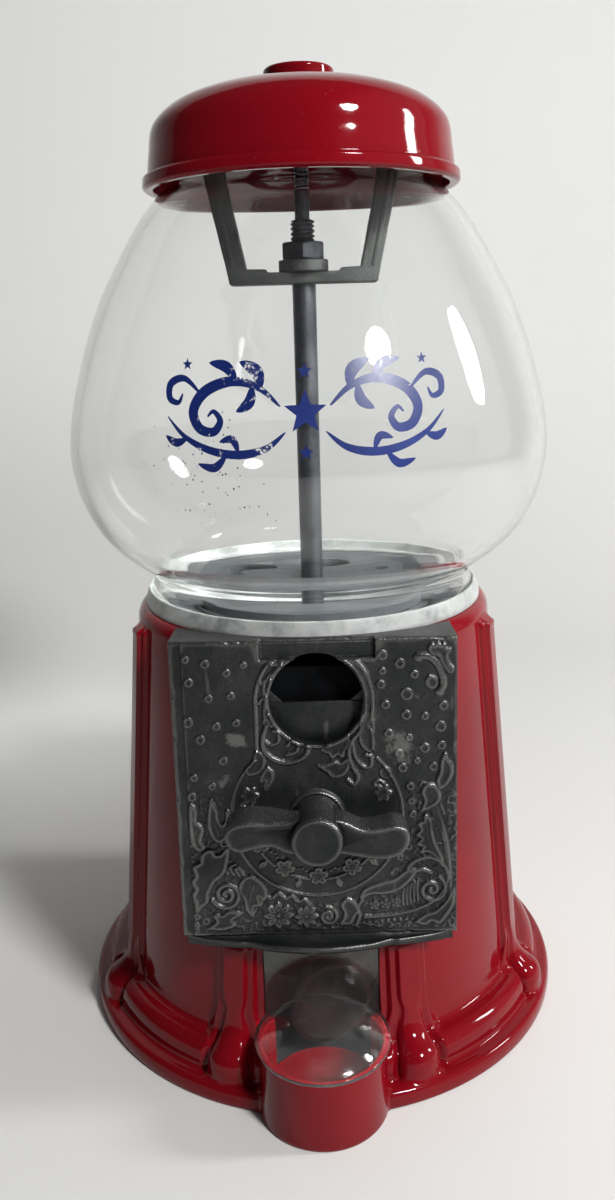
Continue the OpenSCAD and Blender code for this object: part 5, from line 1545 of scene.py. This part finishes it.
for corners in (star(0, -0.5, 7.2), star(0, 12.2, 2.6), star(0, -13.0, 2.6), star(39.5, 15.0, 2.0),
                star(-39.5, 15.0, 2.0), *specks):
    start_at = len(print_points)
    centre = np.mean(corners, axis=0)
    print_points += [tuple(centre)] + corners
    n = len(corners)
    print_faces += [(start_at, start_at + 1 + i, start_at + 1 + (i + 1) % n) for i in range(n)]


def ink():
    f = Finish("blue_print")
    specks = f.noise(420, 4, 0.7)
    rubbed = f.noise(26, 3, 0.6)
    keep = (specks + rubbed * 1.1).rise(0.78, 0.90)
    body = f.principled(Base_Color=f.colour(rubbed.rise(0.4, 0.7), (0.006, 0.018, 0.125), (0.010, 0.028, 0.175)),
                        Roughness=specks * 0.2 + 0.25, Alpha=keep)
    return f.show(body)


blue_ink = ink()
piece("globe_print", on_globe(print_points), print_faces, blue_ink, "base", 60)
print("print faces:", len(print_faces))

# %% [markdown]
# ## Finishes for the model's own solids
#
# The hardware that is exact already keeps the model's solids: screws, gears, shafts, springs and
# the wheel. Each takes the finish of its slot.

# %% Finish the rest
BY_SLOT = {"red_enamel": enamel, "pewter": pewter, "dark_casting": dark_casting, "dark_steel": dark_steel,
           "steel": steel, "zinc_sheet": zinc_sheet, "brass": brass, "grey_plastic": grey_plastic,
           "black_plastic": black_plastic, "milky_rubber": milky_rubber, "globe_glass": globe_glass,
           "clear_plastic": clear_plastic}
for part in frame["record"]["subparts"]:
    solid = nodes[part["node"]]
    solid.data.materials.clear()
    solid.data.materials.append(blackened if part["node"] == "mech_frame" else BY_SLOT[part["material_slot"]])

# %% [markdown]
# ## Light and backdrop
#
# The machine stands on white paper that sweeps up behind it. One window high at the right front
# gives the main light, a taller one at the right side gives the second highlight, and both show as
# crisp marks in the enamel. The room is bright on the right, which is the pale sheen on the
# right-hand panels, and dark on the left.

# %% Light
MIDDLE, LAMP_REACH = Vector((0, 0, 0.2)), 1.4


def lamp(name, azimuth, height, size, power):
    """A lamp aimed at the machine from an azimuth, 0 in front and 90 at the right, and an angle up."""
    a, h = math.radians(azimuth), math.radians(height)
    way = Vector((math.sin(a) * math.cos(h), -math.cos(a) * math.cos(h), math.sin(h)))
    data = bpy.data.lights.new(name, "AREA")
    data.shape, data.size, data.size_y, data.energy = "ELLIPSE", size[0], size[1], power
    obj = bpy.data.objects.new(name, data)
    scene.collection.objects.link(obj)
    obj.location = MIDDLE + LAMP_REACH * way
    obj.rotation_euler = (-way).to_track_quat("-Z", "Y").to_euler()


lamp("high_window", 38, 35, (0.26, 0.24), 20)
lamp("side_window", 88, 24, (0.20, 0.46), 10)


def sweep_sheet():
    """Floor and wall in one sheet with a round corner between them."""
    near, bend, corner_r, wall_top, half_width = -1.5, 0.45, 0.35, 1.6, 2.6
    run = [(near, 0.0), (bend, 0.0)]
    run += [(bend + corner_r * math.sin(t), corner_r - corner_r * math.cos(t))
            for t in np.linspace(0.1, math.pi / 2, 14)]
    run += [(bend + corner_r, wall_top)]
    points = [(x, y, z) for y, z in run for x in (-half_width, half_width)]
    mesh = bpy.data.meshes.new("sweep")
    mesh.from_pydata(points, [], [tuple(int(v) for v in f) for f in grid_faces(len(run), 2)])
    obj = bpy.data.objects.new("sweep", mesh)
    scene.collection.objects.link(obj)
    smooth(obj, 60)
    return obj


def paper():
    """Matt paper whose tone changes up from the floor, and across the wall as painted shading that evens out the
    lamps' light.
    """
    f = Finish("paper")
    height = f.node("SeparateXYZ", {}, {0: f.place()}, "Z")
    across = f.node("SeparateXYZ", {}, {0: f.place()}, "X")
    # Painted shading: the wall is made darker at the right, near the lamps, and lighter at the left.
    wall_painted_shading = f.colour(across.rise(-0.5, 0.6), (0.93, 0.93, 0.915), (0.66, 0.665, 0.65))
    tone = f.colour(height.rise(0.0, 0.3), (0.71, 0.705, 0.685), wall_painted_shading)
    tone = f.colour(f.noise(3, 3) * 0.12, tone, (0.74, 0.74, 0.73))
    return f.show(f.principled(Base_Color=tone, Roughness=f.noise(40) * 0.2 + 0.55))


sweep_sheet().data.materials.append(paper())

world = bpy.data.worlds.new("room")
scene.world = world
world.use_nodes = True
room = world.node_tree
room.nodes.clear()
place = room.nodes.new("ShaderNodeTexCoord")
split = room.nodes.new("ShaderNodeSeparateXYZ")
ramp = room.nodes.new("ShaderNodeMapRange")
ramp.inputs["From Min"].default_value, ramp.inputs["From Max"].default_value = 0.3, 0.9
ramp.inputs["To Min"].default_value, ramp.inputs["To Max"].default_value = 0.06, 0.54
glow = room.nodes.new("ShaderNodeBackground")
end = room.nodes.new("ShaderNodeOutputWorld")
room.links.new(place.outputs["Generated"], split.inputs[0])
room.links.new(split.outputs["X"], ramp.inputs["Value"])
room.links.new(ramp.outputs[0], glow.inputs["Strength"])
room.links.new(glow.outputs[0], end.inputs["Surface"])
print("lamps and sweep are in place")
